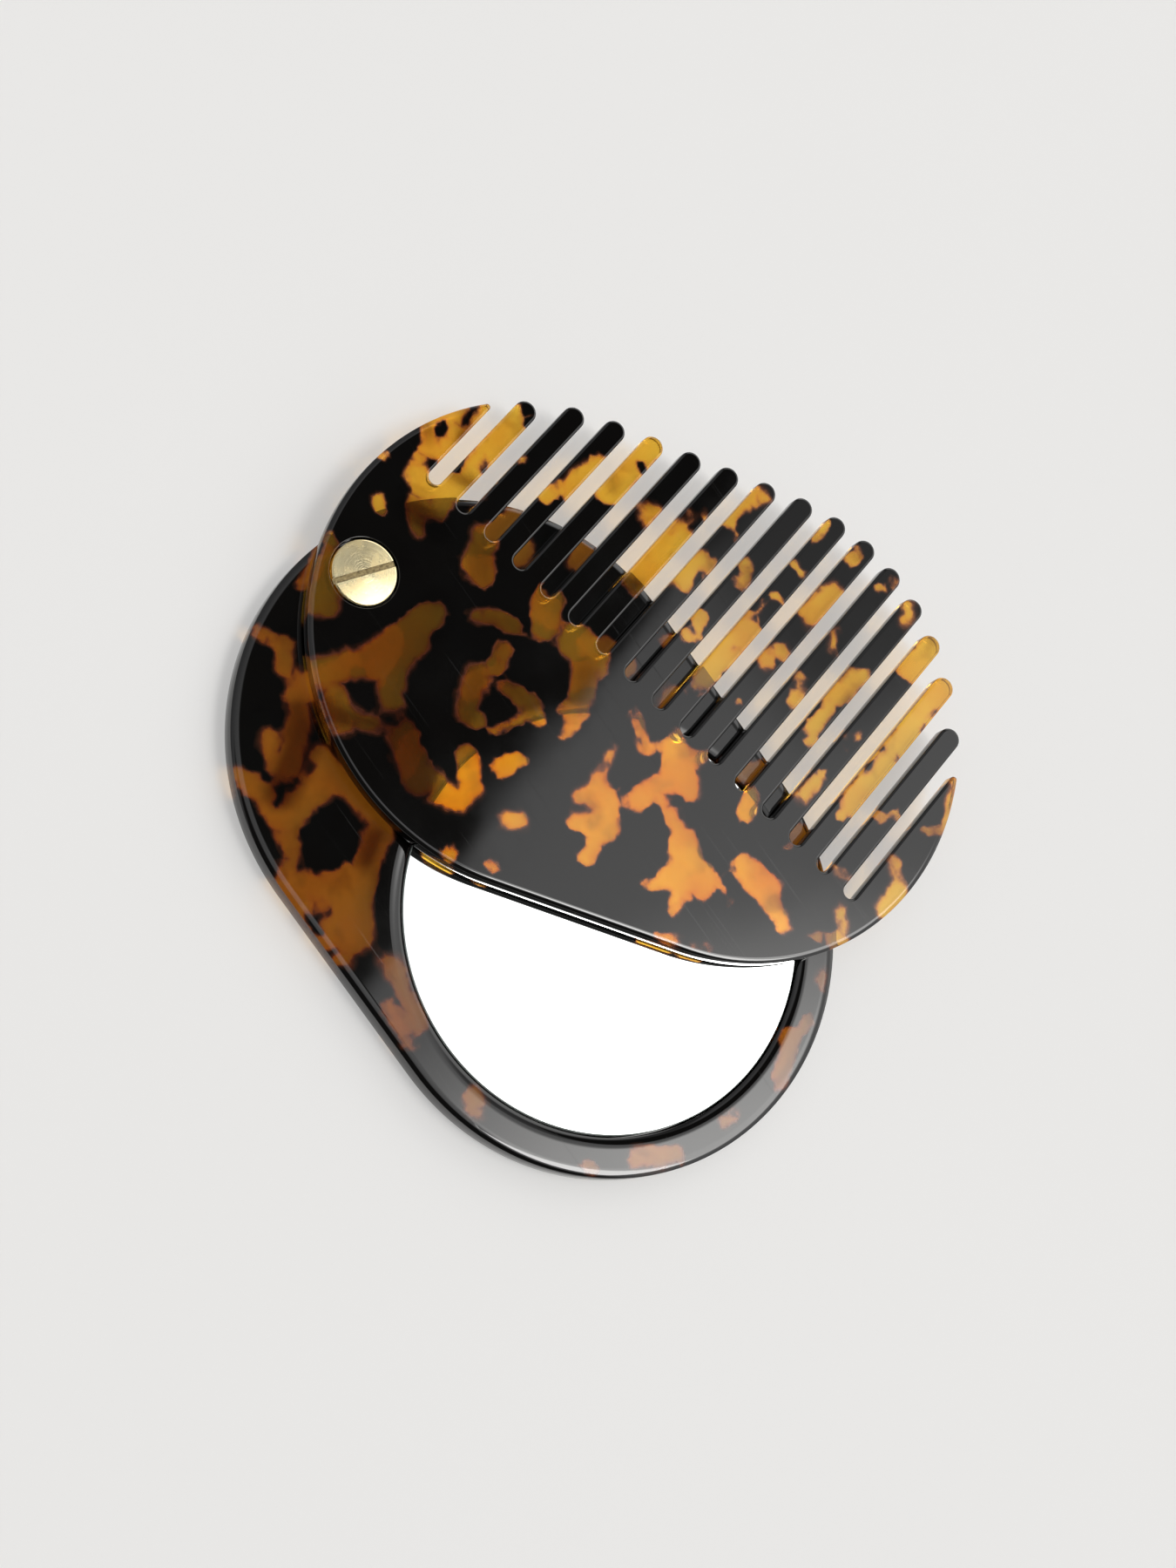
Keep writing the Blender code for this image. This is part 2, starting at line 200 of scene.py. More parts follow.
def comb_outline():
    lean = atan2(ACROSS.y, ACROSS.x)
    walls = [FIRST_SLOT + index * SLOT_PITCH for index in range(SLOT_COUNT)]
    far_lobe = touching_centre(walls[-1] + SLOT_WIDTH + LOBE_TIP_RADIUS, LOBE_TIP_RADIUS)
    near_lobe = touching_centre(walls[0] - LOBE_TIP_RADIUS, LOBE_TIP_RADIUS)
    points = arc(NEAR_CENTRE, END_RADIUS, outward_angle(near_lobe), 3 * pi / 2, ARC_STEP)
    points += arc(FAR_CENTRE, END_RADIUS, -pi / 2, outward_angle(far_lobe), ARC_STEP)
    for index, (point, normal, softness) in enumerate(points):
        share = min(1, index / SOFTENING_STEPS, (len(points) - 1 - index) / SOFTENING_STEPS)
        points[index] = (point, normal, softness + (SPINE_SOFTNESS - softness) * share)
    points += arc(far_lobe, LOBE_TIP_RADIUS, outward_angle(far_lobe), lean + pi, TIP_STEP)[1:]
    for wall in reversed(walls):
        floor = ACROSS * (wall + SLOT_WIDTH / 2) + ALONG * (TOOTH_ROOT + SLOT_WIDTH / 2)
        points += arc(floor, SLOT_WIDTH / 2, lean, lean - pi, TIP_STEP, -1)
        if wall > walls[0]:
            tip = touching_centre(wall - TOOTH_WIDTH / 2, TOOTH_WIDTH / 2)
            points += arc(tip, TOOTH_WIDTH / 2, lean, lean + pi, TIP_STEP)
    return points + arc(near_lobe, LOBE_TIP_RADIUS, lean, outward_angle(near_lobe), TIP_STEP)[:-1]


def divided(outline):
    """The same outline with its long straight steps cut short."""
    made = []
    for (point, normal, softness), (following, _, end) in zip(outline, outline[1:] + outline[:1]):
        count = max(1, round((following - point).length / LONGEST_STEP))
        for index in range(count):
            share = index / count
            made.append((point.lerp(following, share), normal, softness + (end - softness) * share))
    return made


# Profiles of turned faces: lists of (radius, height, normal's radius, normal's height).
def rounded_profile(corners, roundings, side=1):
    """A bent line with rounded corners. Its first and last corners only give directions."""
    made = []
    for before, corner, after, rounding in zip(corners, corners[1:], corners[2:], roundings):
        here = Vector(corner)
        back = (Vector(before) - here).normalized()
        ahead = (Vector(after) - here).normalized()
        half = back.angle(ahead) / 2
        centre = here + (back + ahead).normalized() * (rounding / sin(half))
        start = here + back * (rounding / (sin(half) / cos(half))) - centre
        end = here + ahead * (rounding / (sin(half) / cos(half))) - centre
        first_normal = Vector((-back.y, back.x)) * side
        facing = 1 if first_normal.dot(start) > 0 else -1
        for index in range(CORNER_SEGMENTS + 1):
            spoke = start.slerp(end, index / CORNER_SEGMENTS)
            point = centre + spoke * rounding
            normal = spoke * facing
            made.append((point.x, point.y, normal.x, normal.y))
    return made


class Shell:
    """Points, normals and faces of one closed mesh."""

    def __init__(self):
        self.points = []
        self.normals = []
        self.faces = []

    def ring(self, places):
        """Adds (point, normal) pairs and gives their indices."""
        first = len(self.points)
        self.points += [tuple(point) for point, _ in places]
        self.normals += [tuple(normal) for _, normal in places]
        return list(range(first, len(self.points)))

    def bridge(self, one, other):
        for index in range(len(one)):
            following = (index + 1) % len(one)
            self.faces.append((one[index], one[following], other[following], other[index]))

    def rim(self, outline, low, high):
        """The rounded rim round an outline, and its highest and lowest rings."""
        rings = []
        for height, direction in ((high, 1), (low, -1)):
            for index in range(RIM_SEGMENTS + 1)[::direction]:
                turn = pi / 2 * index / RIM_SEGMENTS
                level = height - direction * EDGE_ROUND * (1 - cos(turn))
                places = []
                for point, normal, softness in outline:
                    place = point - normal * softness * (1 - sin(turn))
                    lean = sin(turn) / softness
                    rise = cos(turn) / EDGE_ROUND + WALL_BULGE * lean
                    facing = Vector((*(normal * lean), direction * rise)).normalized()
                    places.append(((*place, level), facing))
                rings.append(self.ring(places))
        for one, other in zip(rings, rings[1:]):
            self.bridge(one, other)
        return rings[0], rings[-1]

    def bore(self, centre, profile, steps):
        """Faces turned round an upright axis, and their first and last rings."""
        rings = []
        for radius, height, out, up in profile:
            places = []
            for index in range(steps):
                turn = 2 * pi * index / steps
                spoke = Vector((cos(turn), sin(turn)))
                places.append(((*(centre + spoke * radius), height), (*(spoke * out), up)))
            rings.append(self.ring(places))
        for one, other in zip(rings, rings[1:]):
            self.bridge(one, other)
        return rings[0], rings[-1]

    def disc(self, ring, centre, height, up):
        middle = self.ring([((*centre, height), (0, 0, up))])[0]
        for index, corner in enumerate(ring):
            self.faces.append((corner, ring[(index + 1) % len(ring)], middle))

    def cap(self, loops, up):
        """A flat face between an outer ring and its holes, cut into even cells."""
        edges = []
        borders = []
        places = []
        owners = []
        for loop in loops:
            first = len(places)
            places += [self.points[corner][:2] for corner in loop]
            owners += loop
            borders.append(np.array(places[first:]))
            edges += [(first + index, first + (index + 1) % len(loop)) for index in range(len(loop))]
        height = self.points[loops[0][0]][2]
        inner = cells_inside(borders)
        owners += self.ring([((*place, height), (0, 0, up)) for place in inner])
        places += [tuple(place) for place in inner]
        flat = [Vector(place) for place in places]
        _, _, triangles, origins, _, _ = delaunay_2d_cdt(flat, edges, [], 0, MERGE)
        owner = [owners[origin[0]] for origin in origins]
        spots = np.array(places)
        corners = np.array([[origins[corner][0] for corner in triangle] for triangle in triangles])
        kept = inside(spots[corners].mean(1), borders)
        for triangle, keep in zip(triangles, kept):
            if keep:
                self.faces.append(tuple(owner[corner] for corner in triangle))

    def mesh(self, name):
        """The mesh in metres, every face turned the way its corners' normals point."""
        points = np.array(self.points)
        normals = np.array(self.normals)
        faces = []
        for face in self.faces:
            around = points[list(face)]
            turn = np.cross(around[1] - around[0], around[2] - around[0])
            if len(face) == 4:
                turn = turn + np.cross(around[2] - around[0], around[3] - around[0])
            faces.append(face if turn.dot(normals[list(face)].sum(0)) > 0 else face[::-1])
        made = bpy.data.meshes.new(name)
        made.from_pydata((points * MM).tolist(), [], faces)
        made.shade_smooth()
        made.normals_split_custom_set_from_vertices(normals.tolist())
        return made


def inside(spots, borders):
    """True for each spot inside the first border and outside the others."""
    odd = np.zeros(len(spots), bool)
    x, y = spots[:, :1], spots[:, 1:]
    for border in borders:
        x0, y0 = border.T
        x1, y1 = np.roll(border, -1, 0).T
        crosses = (y0 > y) != (y1 > y)
        rise = np.where(y1 == y0, 1, y1 - y0)
        odd ^= (crosses & (x < x0 + (y - y0) * (x1 - x0) / rise)).sum(1) % 2 == 1
    return odd


def distance_to(spots, start, end):
    """Distance from each spot to each segment."""
    run = end - start
    offset = spots[:, None, :] - start
    share = (offset * run).sum(2) / np.maximum((run * run).sum(1), SMALLEST_SQUARE)
    return np.linalg.norm(offset - share.clip(0, 1)[..., None] * run, axis=2)


def cells_inside(borders):
    """A staggered grid of spots inside the first border, clear of every border."""
    low, high = borders[0].min(0), borders[0].max(0)
    rows = np.arange(low[1], high[1], CELL * sqrt(3) / 2)
    spots = []
    for index, row in enumerate(rows):
        columns = np.arange(low[0] + CELL / 2 * (index % 2), high[0], CELL)
        spots += [(column, row) for column in columns]
    spots = np.array(spots)
    spots = spots[inside(spots, borders)]
    for border in borders:
        near = distance_to(spots, border, np.roll(border, -1, 0)).min(1)
        spots = spots[near > CELL_MARGIN]
    return spots


# Where the amber shows: (x, y, x, y, radius) bars with round ends, in each plate's own frame. A cloud's
# last number says how much it darkens the amber.
COMB_AMBER = (
    (10.6, 31.0, 5.2, 25.2, 3.2), (6.0, 24.0, 4.2, 18.0, 2.6), (4.6, 16.2, 10.4, 17.8, 2.3),
    (8.6, 16.4, 8.4, 14.2, 1.6), (12.0, 19.0, 15.8, 31.2, 2.7), (-1.8, 18.4, -1.8, 18.2, 0.8),
    (-0.9, 11.2, -0.6, 10.2, 1.1), (4.6, 12.6, 8.0, 13.2, 1.3), (4.6, 11.2, 5.8, 9.2, 1.2),
    (18.5, 25.8, 18.5, 25.0, 0.5), (30.0, 29.4, 26.6, 23.8, 1.9), (24.2, 22.6, 23.2, 21.2, 1.0),
    (37.6, 36.4, 32.9, 26.2, 2.4), (38.6, 26.0, 40.4, 25.6, 1.0), (39.6, 25.4, 39.9, 24.2, 0.7),
    (45.2, 23.6, 40.4, 14.6, 2.5), (46.2, 27.6, 46.4, 27.3, 0.45), (48.2, 28.6, 48.4, 28.2, 0.45),
    (56.4, 35.0, 52.6, 29.4, 1.6), (53.2, 28.6, 54.0, 26.6, 0.5), (50.2, 21.4, 47.4, 17.2, 1.8),
    (56.8, 23.8, 56.9, 21.0, 1.1), (55.9, 20.9, 57.2, 19.8, 0.8), (51.8, 12.6, 51.4, 9.6, 1.4),
    (50.4, 9.4, 50.4, 8.8, 1.0), (68.5, 34.6, 67.0, 31.8, 0.8), (64.6, 26.8, 65.8, 25.7, 0.7),
    (63.2, 20.6, 61.4, 18.8, 1.0), (60.4, 15.0, 57.2, 9.0, 2.1), (57.0, 9.0, 54.4, 3.6, 1.9),
    (54.6, 2.2, 53.0, 0.8, 0.7), (60.4, 2.6, 60.8, 2.2, 0.5), (74.4, 32.0, 73.4, 31.0, 1.2),
    (71.6, 24.2, 68.9, 19.6, 1.9), (65.4, 12.4, 64.0, 10.0, 1.4), (69.9, 9.4, 69.0, 4.6, 0.8),
    (70.7, 8.0, 70.2, 5.6, 0.7), (81.2, 30.2, 80.8, 29.0, 0.5), (79.0, 28.4, 79.4, 27.6, 0.5),
    (73.6, 18.6, 74.0, 15.4, 0.6), (85.0, 26.8, 84.9, 25.0, 1.3), (79.2, 13.2, 76.6, 8.6, 1.7),
    (75.4, 7.0, 73.2, 0.8, 1.3), (76.8, -4.6, 74.6, -8.8, 1.1), (90.2, 22.0, 87.6, 17.4, 2.4),
    (93.6, 16.6, 90.0, 8.0, 2.7), (90.0, 8.0, 83.2, -6.4, 2.4), (81.6, -8.6, 81.4, -9.4, 0.6),
    (81.4, 4.4, 79.8, 2.8, 0.6), (79.8, 2.4, 80.4, 1.2, 0.4), (90.2, -5.8, 87.8, -7.2, 0.9),
    (98.8, 2.4, 98.7, -5.4, 0.7), (95.4, -6.6, 97.8, -5.6, 0.8), (91.8, -13.2, 93.2, -16.2, 1.0),
    (93.8, -16.8, 91.8, -20.8, 1.4), (85.0, -23.6, 86.0, -26.6, 1.0), (81.6, -28.8, 86.6, -27.8, 1.1),
    (66.6, -11.4, 66.0, -14.4, 1.4), (68.6, -22.4, 72.6, -24.0, 2.4), (72.8, -25.0, 76.0, -28.6, 1.5),
    (66.2, -23.2, 67.0, -23.2, 0.6), (66.8, -28.0, 67.2, -27.8, 0.6), (72.8, -17.8, 74.2, -16.8, 0.4),
    (83.0, -17.6, 85.0, -18.0, 0.4), (52.3, -6.2, 53.0, -9.4, 0.9), (57.4, -7.4, 56.0, -9.4, 1.0),
    (53.6, -10.2, 55.2, -13.6, 3.1), (52.4, -13.8, 48.9, -18.4, 1.7), (48.2, -19.0, 46.4, -21.0, 0.6),
    (48.6, -9.4, 51.0, -8.6, 0.5), (53.4, -17.4, 56.6, -20.4, 1.1), (57.6, -21.6, 59.4, -26.6, 2.5),
    (60.6, -25.0, 62.6, -26.2, 2.1), (63.0, -26.0, 65.0, -26.0, 0.8), (58.0, -26.6, 57.2, -27.6, 2.0),
    (57.0, -28.4, 53.6, -29.9, 1.0), (59.4, -29.0, 58.7, -31.6, 1.2), (60.4, -28.0, 62.4, -28.6, 0.9),
    (43.6, -20.2, 44.6, -24.0, 2.9), (40.4, -20.9, 41.6, -19.7, 1.1), (40.6, -24.6, 43.6, -24.0, 1.3),
    (44.6, -26.4, 43.4, -29.6, 1.2), (45.2, -5.8, 48.4, -10.2, 0.9), (43.4, -11.2, 43.0, -14.0, 0.5),
    (42.6, -16.2, 42.4, -17.0, 0.6), (34.0, -8.9, 37.4, -7.6, 0.9), (37.0, -8.8, 35.6, -12.2, 1.3),
    (28.6, -12.4, 31.0, -10.8, 0.7), (25.2, -15.8, 28.6, -12.6, 0.7), (30.6, -11.8, 31.6, -12.2, 0.7),
    (27.4, -20.6, 29.6, -18.8, 1.5), (22.2, -20.8, 24.0, -25.0, 1.7), (22.8, -26.0, 23.6, -26.2, 1.2),
    (19.6, -26.0, 19.8, -27.8, 1.7), (19.8, -27.9, 23.2, -27.4, 1.6), (22.8, -35.6, 23.6, -35.8, 1.2),
    (30.8, -28.0, 32.6, -27.2, 1.2), (29.6, -35.2, 30.6, -35.4, 0.7), (57.0, -36.6, 60.0, -36.4, 0.5),
    (63.2, -36.2, 65.4, -35.8, 0.5), (-6.1, 3.0, -5.8, 0.0, 1.0), (-5.4, -1.6, -4.6, -6.4, 2.2),
    (11.0, -2.6, 9.0, -7.0, 2.5), (9.0, -7.0, 6.4, -11.5, 3.1), (6.0, -11.6, -2.0, -16.4, 2.3),
    (-1.8, -16.6, -6.0, -18.6, 1.5), (8.2, -12.0, 8.6, -17.0, 1.9), (-3.6, -20.0, -1.0, -22.2, 1.6),
    (0.6, -19.6, 3.0, -22.4, 1.9), (4.4, -21.4, 7.4, -21.2, 1.2), (12.2, -21.4, 15.8, -26.4, 2.5),
    (15.8, 12.0, 16.2, 8.0, 2.1), (15.8, 7.4, 17.0, 6.6, 2.3), (17.2, -0.2, 19.0, -0.3, 0.6),
    (19.8, 0.8, 24.4, 0.6, 1.3), (28.0, 6.2, 28.2, 2.0, 2.4), (23.4, -3.4, 22.6, -7.0, 1.3),
    (20.4, -8.8, 20.0, -13.6, 1.8), (20.6, -14.8, 22.4, -15.4, 1.2), (25.6, -8.8, 29.4, -10.0, 1.5),
    (33.8, 1.6, 37.0, 0.4, 2.9), (36.0, -1.0, 36.8, -5.6, 2.2),
)
COMB_DARK = (
    (5.2, 26.5, 5.2, 24.3, 0.75), (1.0, 22.4, 1.4, 21.0, 1.0), (4.3, 20.0, 5.6, 19.8, 0.55),
    (9.0, 31.0, 8.6, 27.8, 0.9), (5.5, 19.6, 5.4, 18.6, 0.5), (17.4, 34.2, 17.8, 32.0, 1.2),
    (12.5, 23.3, 13.2, 21.8, 0.6), (36.4, 32.0, 37.4, 31.4, 0.6), (44.0, 24.2, 44.5, 25.3, 0.4),
    (57.0, 31.8, 55.6, 29.4, 1.6), (50.2, 19.4, 49.8, 17.2, 0.5), (57.6, 9.8, 58.0, 9.2, 0.5),
    (63.8, 22.2, 64.2, 21.6, 0.4), (62.8, 18.2, 62.6, 15.6, 1.5), (64.2, 11.8, 64.8, 11.6, 0.3),
    (69.3, 23.6, 69.2, 23.2, 0.3), (86.8, 28.0, 86.4, 26.2, 0.9), (93.2, 12.8, 92.8, 11.6, 0.35),
    (91.7, 9.0, 91.5, 8.6, 0.3), (86.0, 3.8, 85.8, 2.8, 0.4), (85.4, 2.2, 83.8, -0.8, 0.25),
    (87.8, 2.6, 88.6, 2.6, 0.4), (54.2, -15.9, 55.6, -15.9, 0.9), (50.6, -10.0, 50.6, -11.2, 0.5),
    (56.6, -30.6, 57.0, -30.0, 0.8), (40.8, -22.8, 42.0, -21.8, 0.5), (4.4, -17.0, 5.6, -18.4, 2.0),
    (24.2, -11.2, 24.6, -12.8, 1.8), (24.4, -4.8, 24.6, -6.8, 0.4), (19.4, -24.4, 21.2, -25.2, 0.5),
    (9.6, -20.4, 10.8, -19.2, 0.8), (35.0, -10.8, 34.4, -12.0, 0.5),
)
COMB_CLOUD = (
    (12.0, -1.6, 9.0, -8.0, 3.4, 0.6), (9.0, -8.0, 6.0, -12.0, 4.0, 0.6),
    (6.0, -12.0, -6.6, -19.0, 3.2, 0.4), (8.4, -12.0, 9.0, -18.0, 3.0, 0.6),
    (-5.6, 3.6, -4.4, -8.0, 3.0, 0.45), (28.4, 7.0, 28.6, 1.4, 3.2, 0.2),
    (8.6, 30.6, 8.6, 25.2, 0.9, 1.0), (2.0, 26.6, 4.0, 24.0, 0.6, 1.0), (9.4, 19.6, 12.0, 19.4, 0.9, 1.0),
    (4.0, 12.0, 9.0, 10.6, 2.2, 1.0), (33.0, 28.6, 33.6, 27.4, 0.5, 1.0),
    (39.4, 28.4, 39.2, 27.0, 0.7, 1.0), (40.4, 14.0, 38.4, 12.6, 1.2, 1.0),
    (51.0, 22.8, 51.6, 21.4, 0.7, 1.0), (58.4, 23.4, 58.2, 21.6, 0.7, 1.0),
    (75.4, 33.8, 75.4, 32.4, 0.9, 1.0), (67.4, 17.6, 66.4, 15.4, 1.4, 1.0),
    (79.4, 9.6, 78.4, 8.2, 0.7, 1.0), (94.6, -6.8, 98.0, -5.8, 0.9, 1.0),
    (-4.4, -19.6, 3.0, -22.0, 1.8, 1.0), (4.0, -21.6, 8.0, -21.2, 1.2, 1.0),
    (12.0, -20.6, 16.0, -26.8, 3.4, 1.0), (15.6, 12.0, 16.8, 6.6, 2.2, 0.55),
    (18.0, 0.2, 25.0, 0.6, 1.4, 0.6), (23.4, -3.4, 22.6, -7.0, 1.4, 0.55),
    (20.4, -8.8, 20.4, -14.6, 2.0, 0.7), (25.6, -8.8, 29.4, -10.0, 1.6, 0.6),
    (36.6, -2.0, 37.4, -5.8, 2.2, 0.6),
)
PLATE_AMBER = (
    (-6.0, -2.4, -3.6, -7.6, 1.2), (-1.8, -17.6, 0.6, -16.4, 0.9), (1.0, -16.2, 2.0, -14.8, 1.0),
    (2.4, -16.0, 4.4, -17.8, 1.3), (5.6, -17.4, 8.0, -16.4, 1.0), (8.4, -15.6, 8.8, -18.8, 2.0),
    (9.6, -3.0, 12.0, -9.6, 3.4), (9.0, -10.0, 8.6, -14.0, 1.6), (12.0, -14.6, 17.0, -16.6, 1.6),
    (18.0, -21.2, 29.0, -19.6, 1.7), (20.8, -23.0, 22.2, -31.0, 2.3), (11.6, -20.2, 16.6, -26.2, 1.8),
    (11.4, -25.4, 14.4, -27.8, 1.2), (13.6, -32.6, 18.0, -31.2, 1.6), (18.0, -32.0, 23.0, -32.4, 1.3),
    (24.0, -31.6, 28.6, -35.6, 1.5), (31.6, -20.6, 36.0, -28.0, 2.2), (35.6, -28.6, 40.4, -33.0, 3.3),
    (33.4, -32.0, 30.4, -35.0, 2.0), (29.8, -36.4, 39.0, -36.2, 1.8), (41.0, -34.0, 42.8, -36.0, 1.4),
    (47.4, -30.8, 56.6, -33.0, 1.4), (52.0, -35.0, 58.0, -35.6, 1.2), (69.8, -32.6, 71.0, -33.0, 1.5),
    (87.4, -25.0, 88.6, -24.2, 0.8), (91.6, -18.0, 94.8, -12.6, 1.5), (96.0, -3.6, 96.4, -0.8, 0.8),
    (92.6, 13.6, 96.6, 8.0, 1.5), (92.4, 17.6, 92.8, 16.0, 0.9), (88.6, 23.6, 89.6, 22.4, 0.7),
    (-1.0, 4.0, 3.0, 10.0, 3.0), (4.0, 22.0, 10.0, 24.0, 2.6), (5.6, 27.6, 6.6, 25.4, 2.0),
    (14.6, 35.0, 17.0, 31.0, 2.0), (22.6, 12.0, 24.0, 16.0, 2.6), (34.2, 35.0, 34.4, 36.0, 1.2),
    (41.0, 31.0, 42.0, 29.0, 1.4), (55.0, 30.0, 58.6, 35.6, 1.8), (69.0, 33.0, 71.0, 35.4, 2.0),
    (76.0, 34.0, 77.0, 31.0, 1.4), (17.0, 1.0, 22.0, -2.0, 2.4), (24.0, -8.0, 26.0, -12.0, 2.0),
    (28.0, 24.0, 33.0, 27.0, 2.4), (9.0, 15.0, 10.6, 18.6, 2.4), (17.6, 20.6, 21.0, 21.4, 2.6),
    (29.6, 17.6, 31.4, 21.6, 2.4), (22.4, 4.0, 23.6, 7.0, 2.2),
)
PLATE_DARK = (
    (27.6, -24.2, 28.8, -29.4, 2.8), (29.6, -30.0, 29.4, -30.8, 2.2), (12.4, -29.2, 13.0, -29.4, 1.8),
    (22.6, -35.4, 25.4, -35.6, 1.3), (11.6, -9.4, 14.6, -11.0, 1.5), (41.6, -27.4, 43.2, -29.6, 1.2),
    (47.4, -34.2, 50.0, -34.4, 0.7), (35.6, -36.8, 37.4, -36.8, 0.9), (36.6, -21.4, 38.6, -24.4, 1.4),
    (2.0, -19.4, 2.2, -19.2, 1.4),
)
PLATE_CLOUD = (
    (14.0, -20.6, 18.6, -28.6, 2.6, 1.0), (11.0, -19.6, 13.6, -22.4, 2.2, 0.9),
    (37.0, -24.0, 40.0, -27.0, 0.8, 1.0), (12.6, -12.6, 15.6, -14.6, 1.6, 1.0),
    (47.0, -31.5, 56.6, -33.8, 0.2, 1.0), (31.4, -21.0, 33.6, -24.6, 1.4, 1.0),
)

# A cloud's soft edge, how much wider the amber is where light leaves, and its growth with depth.
CLOUD_FADE = 1.6
WIDER_INSIDE = 2.0
COMB_SPREAD = 0.5
PLATE_SPREAD = 0.2

# The pattern behind the mirror, which only the back shows.
HIDDEN_SEED = 12
HIDDEN_GRID = range(-3, 4)
HIDDEN_SPACING = 10.0
HIDDEN_ROW_SHARE = 0.87
HIDDEN_COUNTS = (1, 2, 3)
HIDDEN_LENGTHS = (2.5, 6.5)
HIDDEN_RADII = (1.1, 2.5)
HIDDEN_BEND = 1.5
HIDDEN_MARGIN = 1.5


def reach(spots, bars):
    """How far each spot lies inside each bar; negative outside."""
    made = np.array(bars)
    return made[:, 4] - distance_to(spots, made[:, :2], made[:, 2:4])


def add_pattern(mesh, amber, dark, cloud, spread):
    """The pattern as two numbers per point."""
    places = np.array([vertex.co for vertex in mesh.vertices]) / MM
    spots = places[:, :2]
    depth = places[:, 2].max() - places[:, 2]
    field = np.minimum(reach(spots, amber).max(1), -reach(spots, dark).max(1)) + spread * depth
    within = (reach(spots, cloud) / CLOUD_FADE + 0.5).clip(0, 1)
    haze = (within * np.array(cloud)[:, 5]).max(1)
    for name, values in (("amber", field), ("cloud", haze)):
        layer = mesh.attributes.new(name, "FLOAT", "POINT")
        layer.data.foreach_set("value", values.astype(np.float32))


def patches_behind_mirror():
    """Crooked runs of amber bars, begun from a staggered grid."""
    draw = Random(HIDDEN_SEED)
    bars = []
    for row in HIDDEN_GRID:
        for column in HIDDEN_GRID:
            cell = Vector((column + row % 2 / 2, row * HIDDEN_ROW_SHARE))
            start = FAR_CENTRE + cell * HIDDEN_SPACING
            heading = draw.uniform(0, 2 * pi)
            for _ in range(draw.choice(HIDDEN_COUNTS)):
                way = Vector((cos(heading), sin(heading)))
                end = start + way * draw.uniform(*HIDDEN_LENGTHS)
                radius = draw.uniform(*HIDDEN_RADII)
                farthest = max((start - FAR_CENTRE).length, (end - FAR_CENTRE).length)
                if farthest + radius < GLASS_RADIUS - HIDDEN_MARGIN:
                    bars.append((*start, *end, radius))
                start = end
                heading += draw.uniform(-HIDDEN_BEND, HIDDEN_BEND)
    return tuple(bars)


# Materials. A scale is in waves a metre, a swing in millimetres, and a depth in the amber in
# millimetres over the fringe. A span maps the range of its first two numbers onto its last two, or else
# onto 0 to 1. A scratch set is a direction and a shift.
BROAD_SCALE = 330.0
BROAD_SWING = 2.0
FINE_SCALE = 900.0
FINE_SWING = 0.5
HALO_SCALE = 75.0
HALO_SPAN = (0.45, 0.62, 1.0, 0.4)
TONE_SCALE = 120.0
TONE_SPAN = (0.35, 0.7, 0.0, 0.8)
TONE_TINT = (0.92, 0.70, 0.55, 1)
SMOKE_SCALE = 190.0
SMOKE_SPAN = (0.56, 0.72, 0.0, 0.5)
SMOKE_TINT = (0.34, 0.22, 0.12, 1)
EDGE_DEPTHS = (-0.6, 1.2)
CLEAR_SPAN = (-0.4, 0.3, 0.0, 0.88)
BLACK_STAIN = (0.0016, 0.0014, 0.0012)
BROWN_STAIN = (0.022, 0.008, 0.004)
RED_EDGE_SHARES = (0.14, 0.10, 0.45)
BROWN_EDGE_SHARES = (0.55, 0.40, 1.0)
SHADOW_TINT = (0.95, 0.74, 0.35, 1)
ACETATE_IOR = 1.6
SCRATCH_SETS = ((0.6, 3.0), (-0.9, 8.0))
SCRATCH_SCALES = (28, 2600, 28)
SCRATCH_SPAN = (0.70, 0.78)
SCRATCH_ROUGHNESS = 0.08
SCRATCH_DEPTH_SHARE = 0.02
WEAR_SCALE = 90.0
WEAR_SPAN = (0.3, 0.75, 0.03, 0.07)
SWELL_SCALE = 55.0
SWELL_RELIEF_M = 0.00005
TURNING_SCALE = 9000.0
TURNING_ROUGHNESS = 0.12
TURNING_RELIEF_M = 0.00003
PATINA_SCALE = 420.0
PATINA_SPAN = (0.35, 0.7)
PATINA_ROUGH_SPAN = (0.3, 0.7, 0.14, 0.24)
BRIGHT_BRASS = (0.90, 0.78, 0.48, 1)
DULL_BRASS = (0.82, 0.67, 0.36, 1)
GRIME_SCALE = 2600.0
GRIME_SPAN = (0.35, 0.65)
GRIME_ROUGH_SPAN = (0.3, 0.7, 0.35, 0.6)
# The slot floor's two brass colours, milled and grimy, both darkened as painted shade for the recess.
SHADED_MILLED_BRASS = (0.30, 0.235, 0.12, 1)
SHADED_GRIMY_BRASS = (0.15, 0.115, 0.06, 1)
SMUDGE_SCALE = 70.0
SMUDGE_ROUGH_SPAN = (0.5, 0.8, 0.008, 0.03)
BRIGHT_SILVER = (0.93, 0.945, 0.94, 1)
SMUDGED_SILVER = (0.90, 0.915, 0.91, 1)
GRAIN_SPAN = (0.3, 0.7)
GRAIN_RELIEF_M = 0.00002
FILM_RELIEF_M = 0.00003
NYLON_GLOW_SHARE = 0.3
NYLON_GLOW_DEPTH_M = 0.001
FLOOR_HALF_M = 20.0
FLOOR_DROP_M = 0.00005
FLOOR_SCALE = 3.0
FLOOR_LIGHT = (0.43, 0.426, 0.42, 1)
FLOOR_DARK = (0.41, 0.406, 0.40, 1)
FLOOR_SHINE = 0.97
FLOOR_ROUGHNESS = 0.9


def new_material(name):
    made = bpy.data.materials.new(name)
    made.use_nodes = True
    return made, made.node_tree, made.node_tree.nodes["Principled BSDF"]


